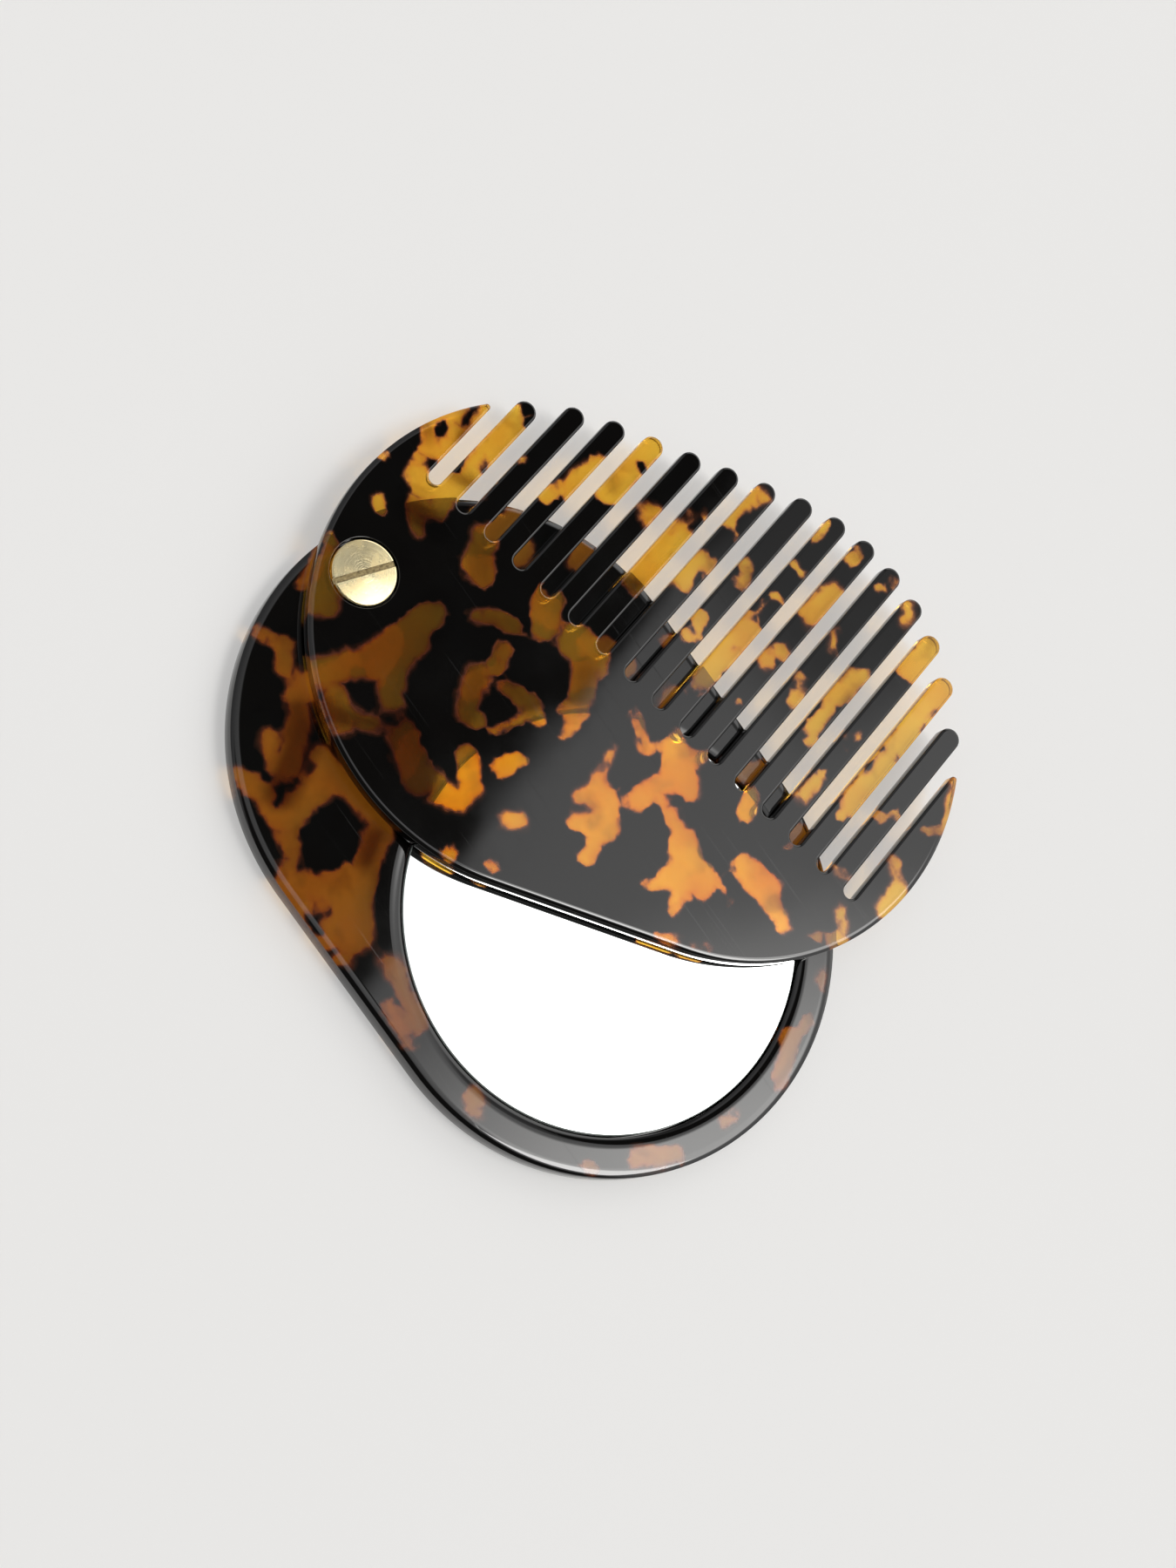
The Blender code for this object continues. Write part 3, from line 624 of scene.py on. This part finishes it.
def fill(tree, made, inputs):
    """Sets a node's inputs to values or links them to sockets."""
    for key, value in inputs.items():
        if isinstance(value, bpy.types.NodeSocket):
            tree.links.new(value, made.inputs[key])
        else:
            made.inputs[key].default_value = value


def node(tree, kind, inputs=(), **settings):
    made = tree.nodes.new(kind)
    for name, value in settings.items():
        setattr(made, name, value)
    fill(tree, made, dict(inputs))
    return made


def maths(tree, operation, first, second):
    return node(tree, "ShaderNodeMath", {0: first, 1: second}, operation=operation).outputs[0]


def product(tree, first, *others):
    for other in others:
        first = maths(tree, "MULTIPLY", first, other)
    return first


def relief(tree, height, distance, strength=0.5):
    inputs = {"Height": height, "Distance": distance, "Strength": strength}
    return node(tree, "ShaderNodeBump", inputs).outputs[0]


def noise(tree, place, scale, detail, roughness=0.5, **more):
    inputs = {"Vector": place, "Scale": scale, "Detail": detail, "Roughness": roughness, **more}
    return node(tree, "ShaderNodeTexNoise", inputs).outputs["Fac"]


def object_place(tree, shift=(0, 0, 0), stretch=(1, 1, 1), turn=0.0):
    place = node(tree, "ShaderNodeTexCoord").outputs["Object"]
    inputs = {"Vector": place, "Location": shift, "Scale": stretch, "Rotation": (0, 0, turn)}
    return node(tree, "ShaderNodeMapping", inputs).outputs[0]


def ramp(tree, value, low, high, stops):
    """A colour ramp over a range of values, from (value, colour) stops."""
    spread = node(tree, "ShaderNodeMapRange", {0: value, 1: low, 2: high}).outputs[0]
    made = node(tree, "ShaderNodeValToRGB", {0: spread})
    elements = made.color_ramp.elements
    while len(elements) < len(stops):
        elements.new(1)
    for element, (level, colour) in zip(elements, stops):
        element.position = (level - low) / (high - low)
        element.color = (*colour, 1)
    return made.outputs[0]


def span(tree, value, low, high, start=0.0, end=1.0):
    inputs = {0: value, 1: low, 2: high, 3: start, 4: end}
    return node(tree, "ShaderNodeMapRange", inputs, interpolation_type="SMOOTHSTEP").outputs[0]


def mix_colour(tree, share, first, second, blend="MIX"):
    inputs = {0: share, 6: first, 7: second}
    made = node(tree, "ShaderNodeMix", inputs, data_type="RGBA", blend_type=blend)
    return made.outputs[2]


def swing(tree, value, width):
    """A noise turned into a swing of half the width to each side of zero."""
    return product(tree, maths(tree, "SUBTRACT", value, 0.5), width)


def scratches(tree, turn, shift):
    """Thin faint lines along one direction."""
    place = object_place(tree, (shift, shift, shift), SCRATCH_SCALES, turn)
    return span(tree, noise(tree, place, 1.0, 1.0), *SCRATCH_SPAN)


def tinted(colour, shares):
    return tuple(part * share for part, share in zip(colour, shares))


def tortoiseshell(name, shift, amber, deep, fringe):
    """Amber acetate with dark mottling right through it.

    The fringe is the share of its full width that the amber's brown edge has.
    """
    made, tree, shader = new_material(name)
    place = object_place(tree, (shift, 0, 0))
    field = node(tree, "ShaderNodeAttribute", attribute_name="amber").outputs["Fac"]
    cloud = node(tree, "ShaderNodeAttribute", attribute_name="cloud").outputs["Fac"]
    broad = noise(tree, place, BROAD_SCALE, 1.0, Distortion=0.5)
    fine = noise(tree, place, FINE_SCALE, 1.0)
    waver = maths(tree, "ADD", swing(tree, broad, BROAD_SWING), swing(tree, fine, FINE_SWING))
    depth = maths(tree, "ADD", field, waver)
    shadow = node(tree, "ShaderNodeLightPath").outputs["Is Shadow Ray"]
    leaving = node(tree, "ShaderNodeNewGeometry").outputs["Backfacing"]
    seen = maths(tree, "SUBTRACT", 1.0, shadow)
    depth = maths(tree, "ADD", depth, product(tree, leaving, seen, WIDER_INSIDE))
    halo = span(tree, noise(tree, place, HALO_SCALE, 1.0), *HALO_SPAN)
    depth = maths(tree, "MAXIMUM", depth, product(tree, depth, halo))
    depth = maths(tree, "DIVIDE", depth, fringe)
    stops = (
        (-0.6, BLACK_STAIN),
        (-0.3, BROWN_STAIN),
        (-0.1, tinted(deep, RED_EDGE_SHARES)),
        (0.15, tinted(deep, BROWN_EDGE_SHARES)),
        (0.5, deep),
        (1.1, amber),
    )
    colour = ramp(tree, depth, *EDGE_DEPTHS, stops)
    tone = span(tree, noise(tree, place, TONE_SCALE, 2.0), *TONE_SPAN)
    colour = mix_colour(tree, tone, colour, TONE_TINT, "MULTIPLY")
    smoke = span(tree, noise(tree, place, SMOKE_SCALE, 2.0), *SMOKE_SPAN)
    shade = maths(tree, "MAXIMUM", cloud, smoke)
    colour = mix_colour(tree, shade, colour, SMOKE_TINT, "MULTIPLY")
    clear = span(tree, depth, *CLEAR_SPAN)
    marks = maths(tree, "MAXIMUM", *[scratches(tree, *one) for one in SCRATCH_SETS])
    wear = span(tree, noise(tree, place, WEAR_SCALE, 3.0), *WEAR_SPAN)
    swell = noise(tree, place, SWELL_SCALE, 1.0)
    height = maths(tree, "SUBTRACT", swell, product(tree, marks, SCRATCH_DEPTH_SHARE))
    inputs = {
        "Base Color": colour,
        "Transmission Weight": clear,
        "Roughness": maths(tree, "ADD", wear, product(tree, marks, SCRATCH_ROUGHNESS)),
        "Normal": relief(tree, height, SWELL_RELIEF_M),
        "IOR": ACETATE_IOR,
    }
    fill(tree, shader, inputs)
    through = node(tree, "ShaderNodeBsdfTransparent", {"Color": SHADOW_TINT}).outputs[0]
    inputs = {0: product(tree, shadow, clear), 1: shader.outputs[0], 2: through}
    surface = node(tree, "ShaderNodeMixShader", inputs).outputs[0]
    fill(tree, tree.nodes["Material Output"], {"Surface": surface})
    return made


def brass():
    """Lathe-turned brass: faint rings round the post's axis."""
    made, tree, shader = new_material("turned_brass")
    flat = object_place(tree, stretch=(1, 1, 0))
    radius = node(tree, "ShaderNodeVectorMath", {0: flat}, operation="LENGTH").outputs["Value"]
    rings = node(tree, "ShaderNodeCombineXYZ", {0: radius}).outputs[0]
    lines = noise(tree, rings, TURNING_SCALE, 2.0, 0.7)
    patina = noise(tree, object_place(tree), PATINA_SCALE, 3.0)
    dull = span(tree, patina, *PATINA_ROUGH_SPAN)
    inputs = {
        "Base Color": mix_colour(tree, span(tree, patina, *PATINA_SPAN), BRIGHT_BRASS, DULL_BRASS),
        "Roughness": maths(tree, "ADD", dull, product(tree, lines, TURNING_ROUGHNESS)),
        "Normal": relief(tree, lines, TURNING_RELIEF_M),
        "Metallic": 1,
    }
    fill(tree, shader, inputs)
    return made


def shaded_milled_brass():
    """Dull brass with grime at the bottom of the screwdriver slot, its colours darkened further as
    painted shade for the recess.
    """
    made, tree, shader = new_material("shaded_milled_brass")
    grime = noise(tree, object_place(tree), GRIME_SCALE, 3.0, 0.6)
    colour = mix_colour(tree, span(tree, grime, *GRIME_SPAN), SHADED_MILLED_BRASS, SHADED_GRIMY_BRASS)
    rough = span(tree, grime, *GRIME_ROUGH_SPAN)
    fill(tree, shader, {"Base Color": colour, "Roughness": rough, "Metallic": 1})
    return made


def silver():
    """Front face of the mirror, with faint wiping marks."""
    made, tree, shader = new_material("mirror_silver")
    smudge = noise(tree, object_place(tree), SMUDGE_SCALE, 4.0, 0.6)
    colour = mix_colour(tree, smudge, BRIGHT_SILVER, SMUDGED_SILVER)
    rough = span(tree, smudge, *SMUDGE_ROUGH_SPAN)
    fill(tree, shader, {"Base Color": colour, "Roughness": rough, "Metallic": 1})
    return made


def grained(name, light, dark, scale, rough, depth=GRAIN_RELIEF_M):
    """A dull surface with a fine grain."""
    made, tree, shader = new_material(name)
    grain = noise(tree, object_place(tree), scale, 4.0, 0.65)
    inputs = {
        "Base Color": mix_colour(tree, grain, (*light, 1), (*dark, 1)),
        "Roughness": span(tree, grain, *GRAIN_SPAN, *rough),
        "Normal": relief(tree, grain, depth, 0.6),
    }
    fill(tree, shader, inputs)
    return made


comb_acetate = tortoiseshell(
    "comb_acetate", shift=0.0, amber=(0.88, 0.54, 0.055), deep=(0.82, 0.375, 0.052), fringe=0.6
)
# The plate's amber is deeper than the comb's, partly for its thicker sheet and partly as painted shade
# for the floor in shadow under it.
plate_acetate = tortoiseshell(
    "plate_acetate", shift=0.37, amber=(0.38, 0.155, 0.014), deep=(0.36, 0.12, 0.016), fringe=0.75
)
turned_brass = brass()
shaded_slot_brass = shaded_milled_brass()
mirror_silver = silver()
ground_glass = grained(
    "ground_glass", light=(0.42, 0.46, 0.44), dark=(0.30, 0.34, 0.32), scale=5000.0, rough=(0.25, 0.4)
)
mirror_back = grained(
    "mirror_back_paint", light=(0.3, 0.31, 0.33), dark=(0.24, 0.25, 0.27), scale=2400.0, rough=(0.45, 0.6)
)
nylon = grained(
    "nylon", light=(0.80, 0.78, 0.72), dark=(0.70, 0.67, 0.60), scale=1600.0, rough=(0.4, 0.55)
)
adhesive = grained(
    "adhesive_film",
    light=(0.76, 0.76, 0.73),
    dark=(0.66, 0.66, 0.63),
    scale=900.0,
    rough=(0.6, 0.8),
    depth=FILM_RELIEF_M,
)
nylon_glow = {"Subsurface Weight": NYLON_GLOW_SHARE, "Subsurface Scale": NYLON_GLOW_DEPTH_M}
fill(nylon.node_tree, nylon.node_tree.nodes["Principled BSDF"], nylon_glow)


def new_object(name, data):
    made = bpy.data.objects.new(name, data)
    bpy.context.scene.collection.objects.link(made)
    return made


def add_piece(name, mesh, materials, body, slot, node_name, centre, height):
    """A visible piece that stands for one CAD node, at its centre and height."""
    made = new_object(name, mesh)
    for surface in materials:
        mesh.materials.append(surface)
    made.matrix_world = Matrix.Translation((centre.x * MM, centre.y * MM, height * MM))
    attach(made, body)
    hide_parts(node_name)
    return made


ON_AXIS = Vector((0, 0))

# Places in a piece's list of materials, and how upright a flat face's normal is.
SILVER_FACE = 0
GROUND_FACE = 1
BACK_FACE = 2
# The slot floor's place holds the darker brass, which carries painted shade.
SHADED_SLOT_FACE = 1
FLAT = 0.99


def make_comb():
    shell = Shell()
    high, low = shell.rim(divided(comb_outline()), 0, COMB_THICKNESS)
    profile = rounded_profile(
        (
            (OUTSIDE, COMB_THICKNESS),
            (SEAT_RADIUS, COMB_THICKNESS),
            (SEAT_RADIUS, COMB_FLOOR),
            (POST_HOLE_RADIUS, COMB_FLOOR),
            (POST_HOLE_RADIUS, 0),
            (OUTSIDE, 0),
        ),
        (SEAT_EDGE, INNER_CORNER, INNER_CORNER, HOLE_EDGE),
    )
    first, last = shell.bore(ON_AXIS, profile, POST_STEPS)
    shell.cap([high, first], 1)
    shell.cap([low, last], -1)
    mesh = shell.mesh("comb_plate_shape")
    add_pattern(mesh, COMB_AMBER, COMB_DARK, COMB_CLOUD, COMB_SPREAD)
    mesh.transform(Matrix.Rotation(OPEN_ANGLE, 4, "Z"))
    names = ("comb", "comb_acetate", "comb_plate")
    add_piece("comb_plate_shape", mesh, [comb_acetate], *names, PIVOT, comb_low.z)


def lip_profile():
    """The soft lip: a quarter of an ellipse from the plate's face to the mirror's level."""
    made = []
    for index in range(LIP_SEGMENTS + 1):
        turn = pi / 2 * (1 + index / LIP_SEGMENTS)
        radius = POCKET_RADIUS + LIP_WIDTH * (1 + cos(turn))
        height = PLATE_THICKNESS - GLASS_RECESS * (1 - sin(turn))
        lean = Vector((cos(turn) / LIP_WIDTH, sin(turn) / GLASS_RECESS)).normalized()
        made.append((radius, height, lean.x, lean.y))
    return made


def make_mirror_plate():
    shell = Shell()
    high, low = shell.rim(divided(racetrack_outline()), 0, PLATE_THICKNESS)
    post = rounded_profile(
        (
            (OUTSIDE, PLATE_THICKNESS),
            (SEAT_RADIUS, PLATE_THICKNESS),
            (SEAT_RADIUS, SPACER_SEAT),
            (POST_HOLE_RADIUS, SPACER_SEAT),
            (POST_HOLE_RADIUS, FLANGE_TOP + GAP),
            (SEAT_RADIUS, FLANGE_TOP + GAP),
            (SEAT_RADIUS, 0),
            (OUTSIDE, 0),
        ),
        (SEAT_EDGE, *[INNER_CORNER] * 4, SEAT_EDGE),
    )
    first, last = shell.bore(ON_AXIS, post, POST_STEPS)
    wall = ((POCKET_RADIUS, PLATE_THICKNESS), (POCKET_RADIUS, POCKET_FLOOR), (0, POCKET_FLOOR))
    well = lip_profile() + rounded_profile(wall, (POCKET_CORNER,))
    mouth, floor = shell.bore(FAR_CENTRE, well, POCKET_STEPS)
    shell.disc(floor, FAR_CENTRE, POCKET_FLOOR, 1)
    shell.cap([high, first, mouth], 1)
    shell.cap([low, last], -1)
    mesh = shell.mesh("mirror_plate_shape")
    amber = PLATE_AMBER + patches_behind_mirror()
    add_pattern(mesh, amber, PLATE_DARK, PLATE_CLOUD, PLATE_SPREAD)
    names = ("mirror_base", "plate_acetate", "mirror_plate")
    add_piece("mirror_plate_shape", mesh, [plate_acetate], *names, PIVOT, plate_low.z)


def turned_piece(name, slot, node_name, corners, roundings, materials, centre, base, steps=POST_STEPS):
    """A closed turned piece. Its first and last corners are on the axis, or join up into a ring."""
    shell = Shell()
    is_ring = corners[0][0] > 0
    around = (corners[-1], *corners, corners[0]) if is_ring else corners
    profile = rounded_profile(around, roundings, -1)
    first, last = shell.bore(ON_AXIS, profile, steps)
    if is_ring:
        shell.bridge(last, first)
    else:
        shell.disc(first, ON_AXIS, corners[0][1], 1)
        shell.disc(last, ON_AXIS, corners[-1][1], -1)
    mesh = shell.mesh(name)
    return add_piece(name, mesh, materials, "mirror_base", slot, node_name, centre, base)


def bow(glass):
    """Lets the silvered face reflect as a slightly hollow one, as thin glass on a soft film does."""
    normals = [Vector(corner.vector) for corner in glass.corner_normals]
    for face in glass.polygons:
        if face.material_index == SILVER_FACE:
            for corner in face.loop_indices:
                spot = glass.vertices[glass.loops[corner].vertex_index].co / MM
                normals[corner] = Vector((*(spot.xy / GLASS_RADIUS * -GLASS_BOW), 1)).normalized()
    glass.normals_split_custom_set(normals)


def make_glass():
    middle = Vector(((glass_low.x + glass_high.x) / 2, 0))
    thickness = glass_high.z - glass_low.z
    corners = (
        (0, thickness),
        (GLASS_RADIUS - GLASS_EDGE, thickness),
        (GLASS_RADIUS, thickness - GLASS_EDGE),
        (GLASS_RADIUS, GLASS_EDGE),
        (GLASS_RADIUS - GLASS_EDGE, 0),
        (0, 0),
    )
    edges = (GLASS_CORNER,) * 4
    surfaces = [mirror_silver, ground_glass, mirror_back]
    names = ("mirror_glass_disc", "mirror", "mirror_glass")
    glass = turned_piece(*names, corners, edges, surfaces, middle, glass_low.z, POCKET_STEPS)
    for face in glass.data.polygons:
        if abs(face.normal.z) < FLAT:
            face.material_index = GROUND_FACE
        elif face.normal.z < 0:
            face.material_index = BACK_FACE
    bow(glass.data)
    film_radius = (film_high.x - film_low.x) / 2
    film = film_high.z - film_low.z
    corners = ((0, film), (film_radius, film), (film_radius, 0), (0, 0))
    edges = (FILM_EDGE, FILM_EDGE)
    names = ("adhesive_disc", "adhesive", "mirror_adhesive")
    turned_piece(*names, corners, edges, [adhesive], middle, film_low.z, FILM_STEPS)


def make_post():
    head = screw_high.z - HEAD_BOTTOM
    tip = screw_low.z - HEAD_BOTTOM
    corners = (
        (0, head),
        (HEAD_RADIUS, head),
        (HEAD_RADIUS, 0),
        (SHANK_RADIUS, 0),
        (SHANK_RADIUS, tip),
        (0, tip),
    )
    edges = (HEAD_ROUND, METAL_EDGE, METAL_EDGE, SHANK_CHAMFER)
    surfaces = [turned_brass, shaded_slot_brass]
    names = ("slotted_screw", "brass", "pivot_screw")
    screw = turned_piece(*names, corners, edges, surfaces, PIVOT, HEAD_BOTTOM)
    cut_driver_slot(screw, head)
    depth = screw_low.z - GAP - nut_low.z
    top = nut_high.z - nut_low.z
    hole = SHANK_RADIUS + GAP
    corners = (
        (0, depth),
        (hole, depth),
        (hole, top),
        (BARREL_RADIUS, top),
        (BARREL_RADIUS, FLANGE_THICKNESS),
        (HEAD_RADIUS, FLANGE_THICKNESS),
        (HEAD_RADIUS, 0),
        (0, 0),
    )
    edges = (HOLE_EDGE, *[INNER_CORNER] * 3, METAL_EDGE, HEAD_ROUND)
    turned_piece("flanged_nut", "brass", "barrel_nut", corners, edges, [turned_brass], PIVOT, nut_low.z)
    for name in ("spacer_washer", "head_washer"):
        low, high = box_mm(name)
        outer = (high.x - low.x) / 2
        thick = high.z - low.z
        corners = ((POST_HOLE_RADIUS, thick), (outer, thick), (outer, 0), (POST_HOLE_RADIUS, 0))
        edges = (WASHER_EDGE,) * 4
        turned_piece(name + "_disc", "nylon", name, corners, edges, [nylon], PIVOT, low.z)


def cut_driver_slot(screw, head):
    """The screwdriver slot, cut through the head's top with its edges broken."""
    half = DRIVER_SLOT_WIDTH / 2
    chamfer = DRIVER_SLOT_CHAMFER
    flare = half + chamfer + OVERRUN
    section = (
        (-half, head - DRIVER_SLOT_DEPTH),
        (half, head - DRIVER_SLOT_DEPTH),
        (half, head - chamfer),
        (flare, head + OVERRUN),
        (-flare, head + OVERRUN),
        (-half, head - chamfer),
    )
    length = HEAD_RADIUS + OVERRUN
    corners = []
    for along in (-length, length):
        corners += [(along * MM, across * MM, height * MM) for across, height in section]
    sides = len(section)
    faces = [tuple(range(sides))[::-1], tuple(range(sides, 2 * sides))]
    for index in range(sides):
        following = (index + 1) % sides
        faces.append((index, following, following + sides, index + sides))
    slot = bpy.data.meshes.new("driver_slot")
    slot.from_pydata(corners, [], faces)
    slot.transform(Matrix.Rotation(DRIVER_SLOT_TURN, 4, "Z"))
    cutter = new_object("driver_slot", slot)
    cutter.matrix_world = screw.matrix_world
    made = screw.modifiers.new("slot", "BOOLEAN")
    made.object = cutter
    made.solver = "EXACT"
    bpy.context.view_layer.update()
    seen = screw.evaluated_get(bpy.context.evaluated_depsgraph_get())
    result = bpy.data.meshes.new_from_object(seen)
    screw.modifiers.clear()
    bpy.data.objects.remove(cutter)
    screw.data = result
    across = Vector((-sin(DRIVER_SLOT_TURN), cos(DRIVER_SLOT_TURN), 0))
    slack = chamfer / 4
    result.shade_smooth()
    result.set_sharp_from_angle(angle=SHARP_ANGLE)
    normals = [Vector(corner.vector) for corner in result.corner_normals]
    for face in result.polygons:
        middle = face.center / MM
        if middle.z > head - slack:
            for corner in face.loop_indices:
                spot = result.vertices[result.loops[corner].vertex_index].co / MM
                normals[corner] = Vector((*(spot.xy / HEAD_RADIUS * DOME_SLOPE), 1)).normalized()
        elif abs(middle.dot(across)) < half + chamfer and middle.z > head - DRIVER_SLOT_DEPTH - slack:
            for corner in face.loop_indices:
                normals[corner] = face.normal.copy()
            # The slot's floor takes the darker brass, which holds painted shade for the recess.
            if middle.z < head - chamfer:
                face.material_index = SHADED_SLOT_FACE
    result.normals_split_custom_set(normals)


def make_floor():
    """The pale table that the object lies on."""
    mesh = bpy.data.meshes.new("floor")
    sides = ((-1, -1), (1, -1), (1, 1), (-1, 1))
    corners = [(x * FLOOR_HALF_M, y * FLOOR_HALF_M, -FLOOR_DROP_M) for x, y in sides]
    mesh.from_pydata(corners, [], [(0, 1, 2, 3)])
    made, tree, shader = new_material("pale_floor")
    mottle = noise(tree, object_place(tree), FLOOR_SCALE, 3.0)
    colour = mix_colour(tree, mottle, FLOOR_LIGHT, FLOOR_DARK)
    rays = node(tree, "ShaderNodeLightPath").outputs
    seen = maths(tree, "MAXIMUM", rays["Is Camera Ray"], rays["Is Glossy Ray"])
    seen = maths(tree, "MAXIMUM", seen, rays["Is Transmission Ray"])
    inputs = {
        "Base Color": colour,
        "Emission Color": colour,
        "Emission Strength": product(tree, seen, FLOOR_SHINE),
        "Roughness": FLOOR_ROUGHNESS,
        "Specular IOR Level": 0.0,
    }
    fill(tree, shader, inputs)
    mesh.materials.append(made)
    new_object("floor", mesh)


def make_camera():
    data = bpy.data.cameras.new("camera")
    data.lens = CAMERA_LENS_MM
    data.clip_start = CAMERA_NEAR_M
    data.clip_end = CAMERA_FAR_M
    camera = new_object("camera", data)
    back = -CAMERA_LOOK.normalized()
    right = CAMERA_UP.cross(back).normalized()
    up = back.cross(right)
    turn = Matrix((right, up, back)).transposed().to_4x4()
    camera.matrix_world = Matrix.Translation(CAMERA_PLACE_M) @ turn
    bpy.context.scene.camera = camera


# Studio light. Directions are parts of a unit vector: X to the right, Y away from the camera, Z up.
# A patch is its low, its high and its soft border, and a fade is its two ends.
LAMP_TOWARDS = (0.34, 0.33, 0.88)
LAMP_FADE = (cos(radians(14.5)), cos(radians(8.5)))
LAMP = (6.2, 6.15, 6.05, 1)
GLOW_FADE = (cos(radians(23)), cos(radians(13)))
GLOW = (0.46, 0.456, 0.45, 1)
WINDOW_X = (0.24, 0.50, 0.03)
WINDOW_Y = (0.10, 0.26, 0.04)
WINDOW = (13.0, 12.9, 12.7, 1)
SIDE_FADE = (-0.6, 0.4)
LEFT_SIDE = (0.42, 0.42, 0.43, 1)
RIGHT_SIDE = (1.08, 1.08, 1.08, 1)
AHEAD_FADE = (0.60, 0.72)
AHEAD = (1.9, 1.9, 1.88, 1)
BEHIND_FADE = (-0.06, 0.04)
BEHIND_X = (-0.2, 0.75, 0.15)
BEHIND = (0.06, 0.06, 0.06, 1)
HORIZON_FADE = (0.05, 0.35)
HORIZON = (0.70, 0.695, 0.685, 1)
CARD = (0.045, 0.045, 0.045, 1)
CARD_LEAN = 0.33
CARD_EDGE = (0.185, 0.192)
CARD_X = (-0.13, 0.2, 0.07)
CARD_Y = (0.30, 0.58, 0.07)
CARD_Z = (0.3, 0.5)
UPPER_CARD_EDGE = (0.085, 0.115)
UPPER_CARD_START = (0.47, 0.50)
UPPER_CARD_Y = (0.40, 0.60, 0.1)
UPPER_CARD_SHARE = 0.6


def make_light():
    """A soft dome, brighter to the right, with dark cards, a dark side, a lamp and a window."""
    world = bpy.data.worlds.new("studio")
    world.use_nodes = True
    bpy.context.scene.world = world
    tree = world.node_tree
    direction = node(tree, "ShaderNodeTexCoord").outputs["Generated"]
    parts = node(tree, "ShaderNodeSeparateXYZ", {0: direction}).outputs
    x, y, z = parts["X"], parts["Y"], parts["Z"]

    def fading(value, start, end):
        return span(tree, value, start, end, 1.0, 0.0)

    def within(value, low, high, soft):
        return product(tree, span(tree, value, low - soft, low), fading(value, high, high + soft))

    inputs = {0: direction, 1: Vector(LAMP_TOWARDS).normalized()}
    lamp_side = node(tree, "ShaderNodeVectorMath", inputs, operation="DOT_PRODUCT").outputs["Value"]
    edge = maths(tree, "ADD", x, product(tree, y, CARD_LEAN))
    card = product(tree, fading(edge, *CARD_EDGE), within(x, *CARD_X), within(y, *CARD_Y))
    card = product(tree, card, span(tree, z, *CARD_Z))
    upper_card = product(tree, span(tree, y, *UPPER_CARD_START), fading(x, *UPPER_CARD_EDGE))
    upper_card = product(tree, upper_card, within(y, *UPPER_CARD_Y), UPPER_CARD_SHARE)
    behind = product(tree, fading(y, *BEHIND_FADE), within(x, *BEHIND_X))
    window = product(tree, within(x, *WINDOW_X), within(y, *WINDOW_Y))
    colour = mix_colour(tree, span(tree, x, *SIDE_FADE), LEFT_SIDE, RIGHT_SIDE)
    colour = mix_colour(tree, span(tree, y, *AHEAD_FADE), colour, AHEAD)
    colour = mix_colour(tree, behind, colour, BEHIND)
    colour = mix_colour(tree, span(tree, z, *HORIZON_FADE), HORIZON, colour)
    colour = mix_colour(tree, span(tree, lamp_side, *GLOW_FADE), colour, GLOW, "ADD")
    colour = mix_colour(tree, upper_card, colour, CARD)
    colour = mix_colour(tree, card, colour, CARD)
    colour = mix_colour(tree, span(tree, lamp_side, *LAMP_FADE), colour, LAMP)
    colour = mix_colour(tree, window, colour, WINDOW)
    fill(tree, tree.nodes["Background"], {"Color": colour, "Strength": 1})


make_comb()
make_mirror_plate()
make_glass()
make_post()
make_floor()
make_camera()
make_light()
bpy.context.scene.view_settings.view_transform = "Standard"
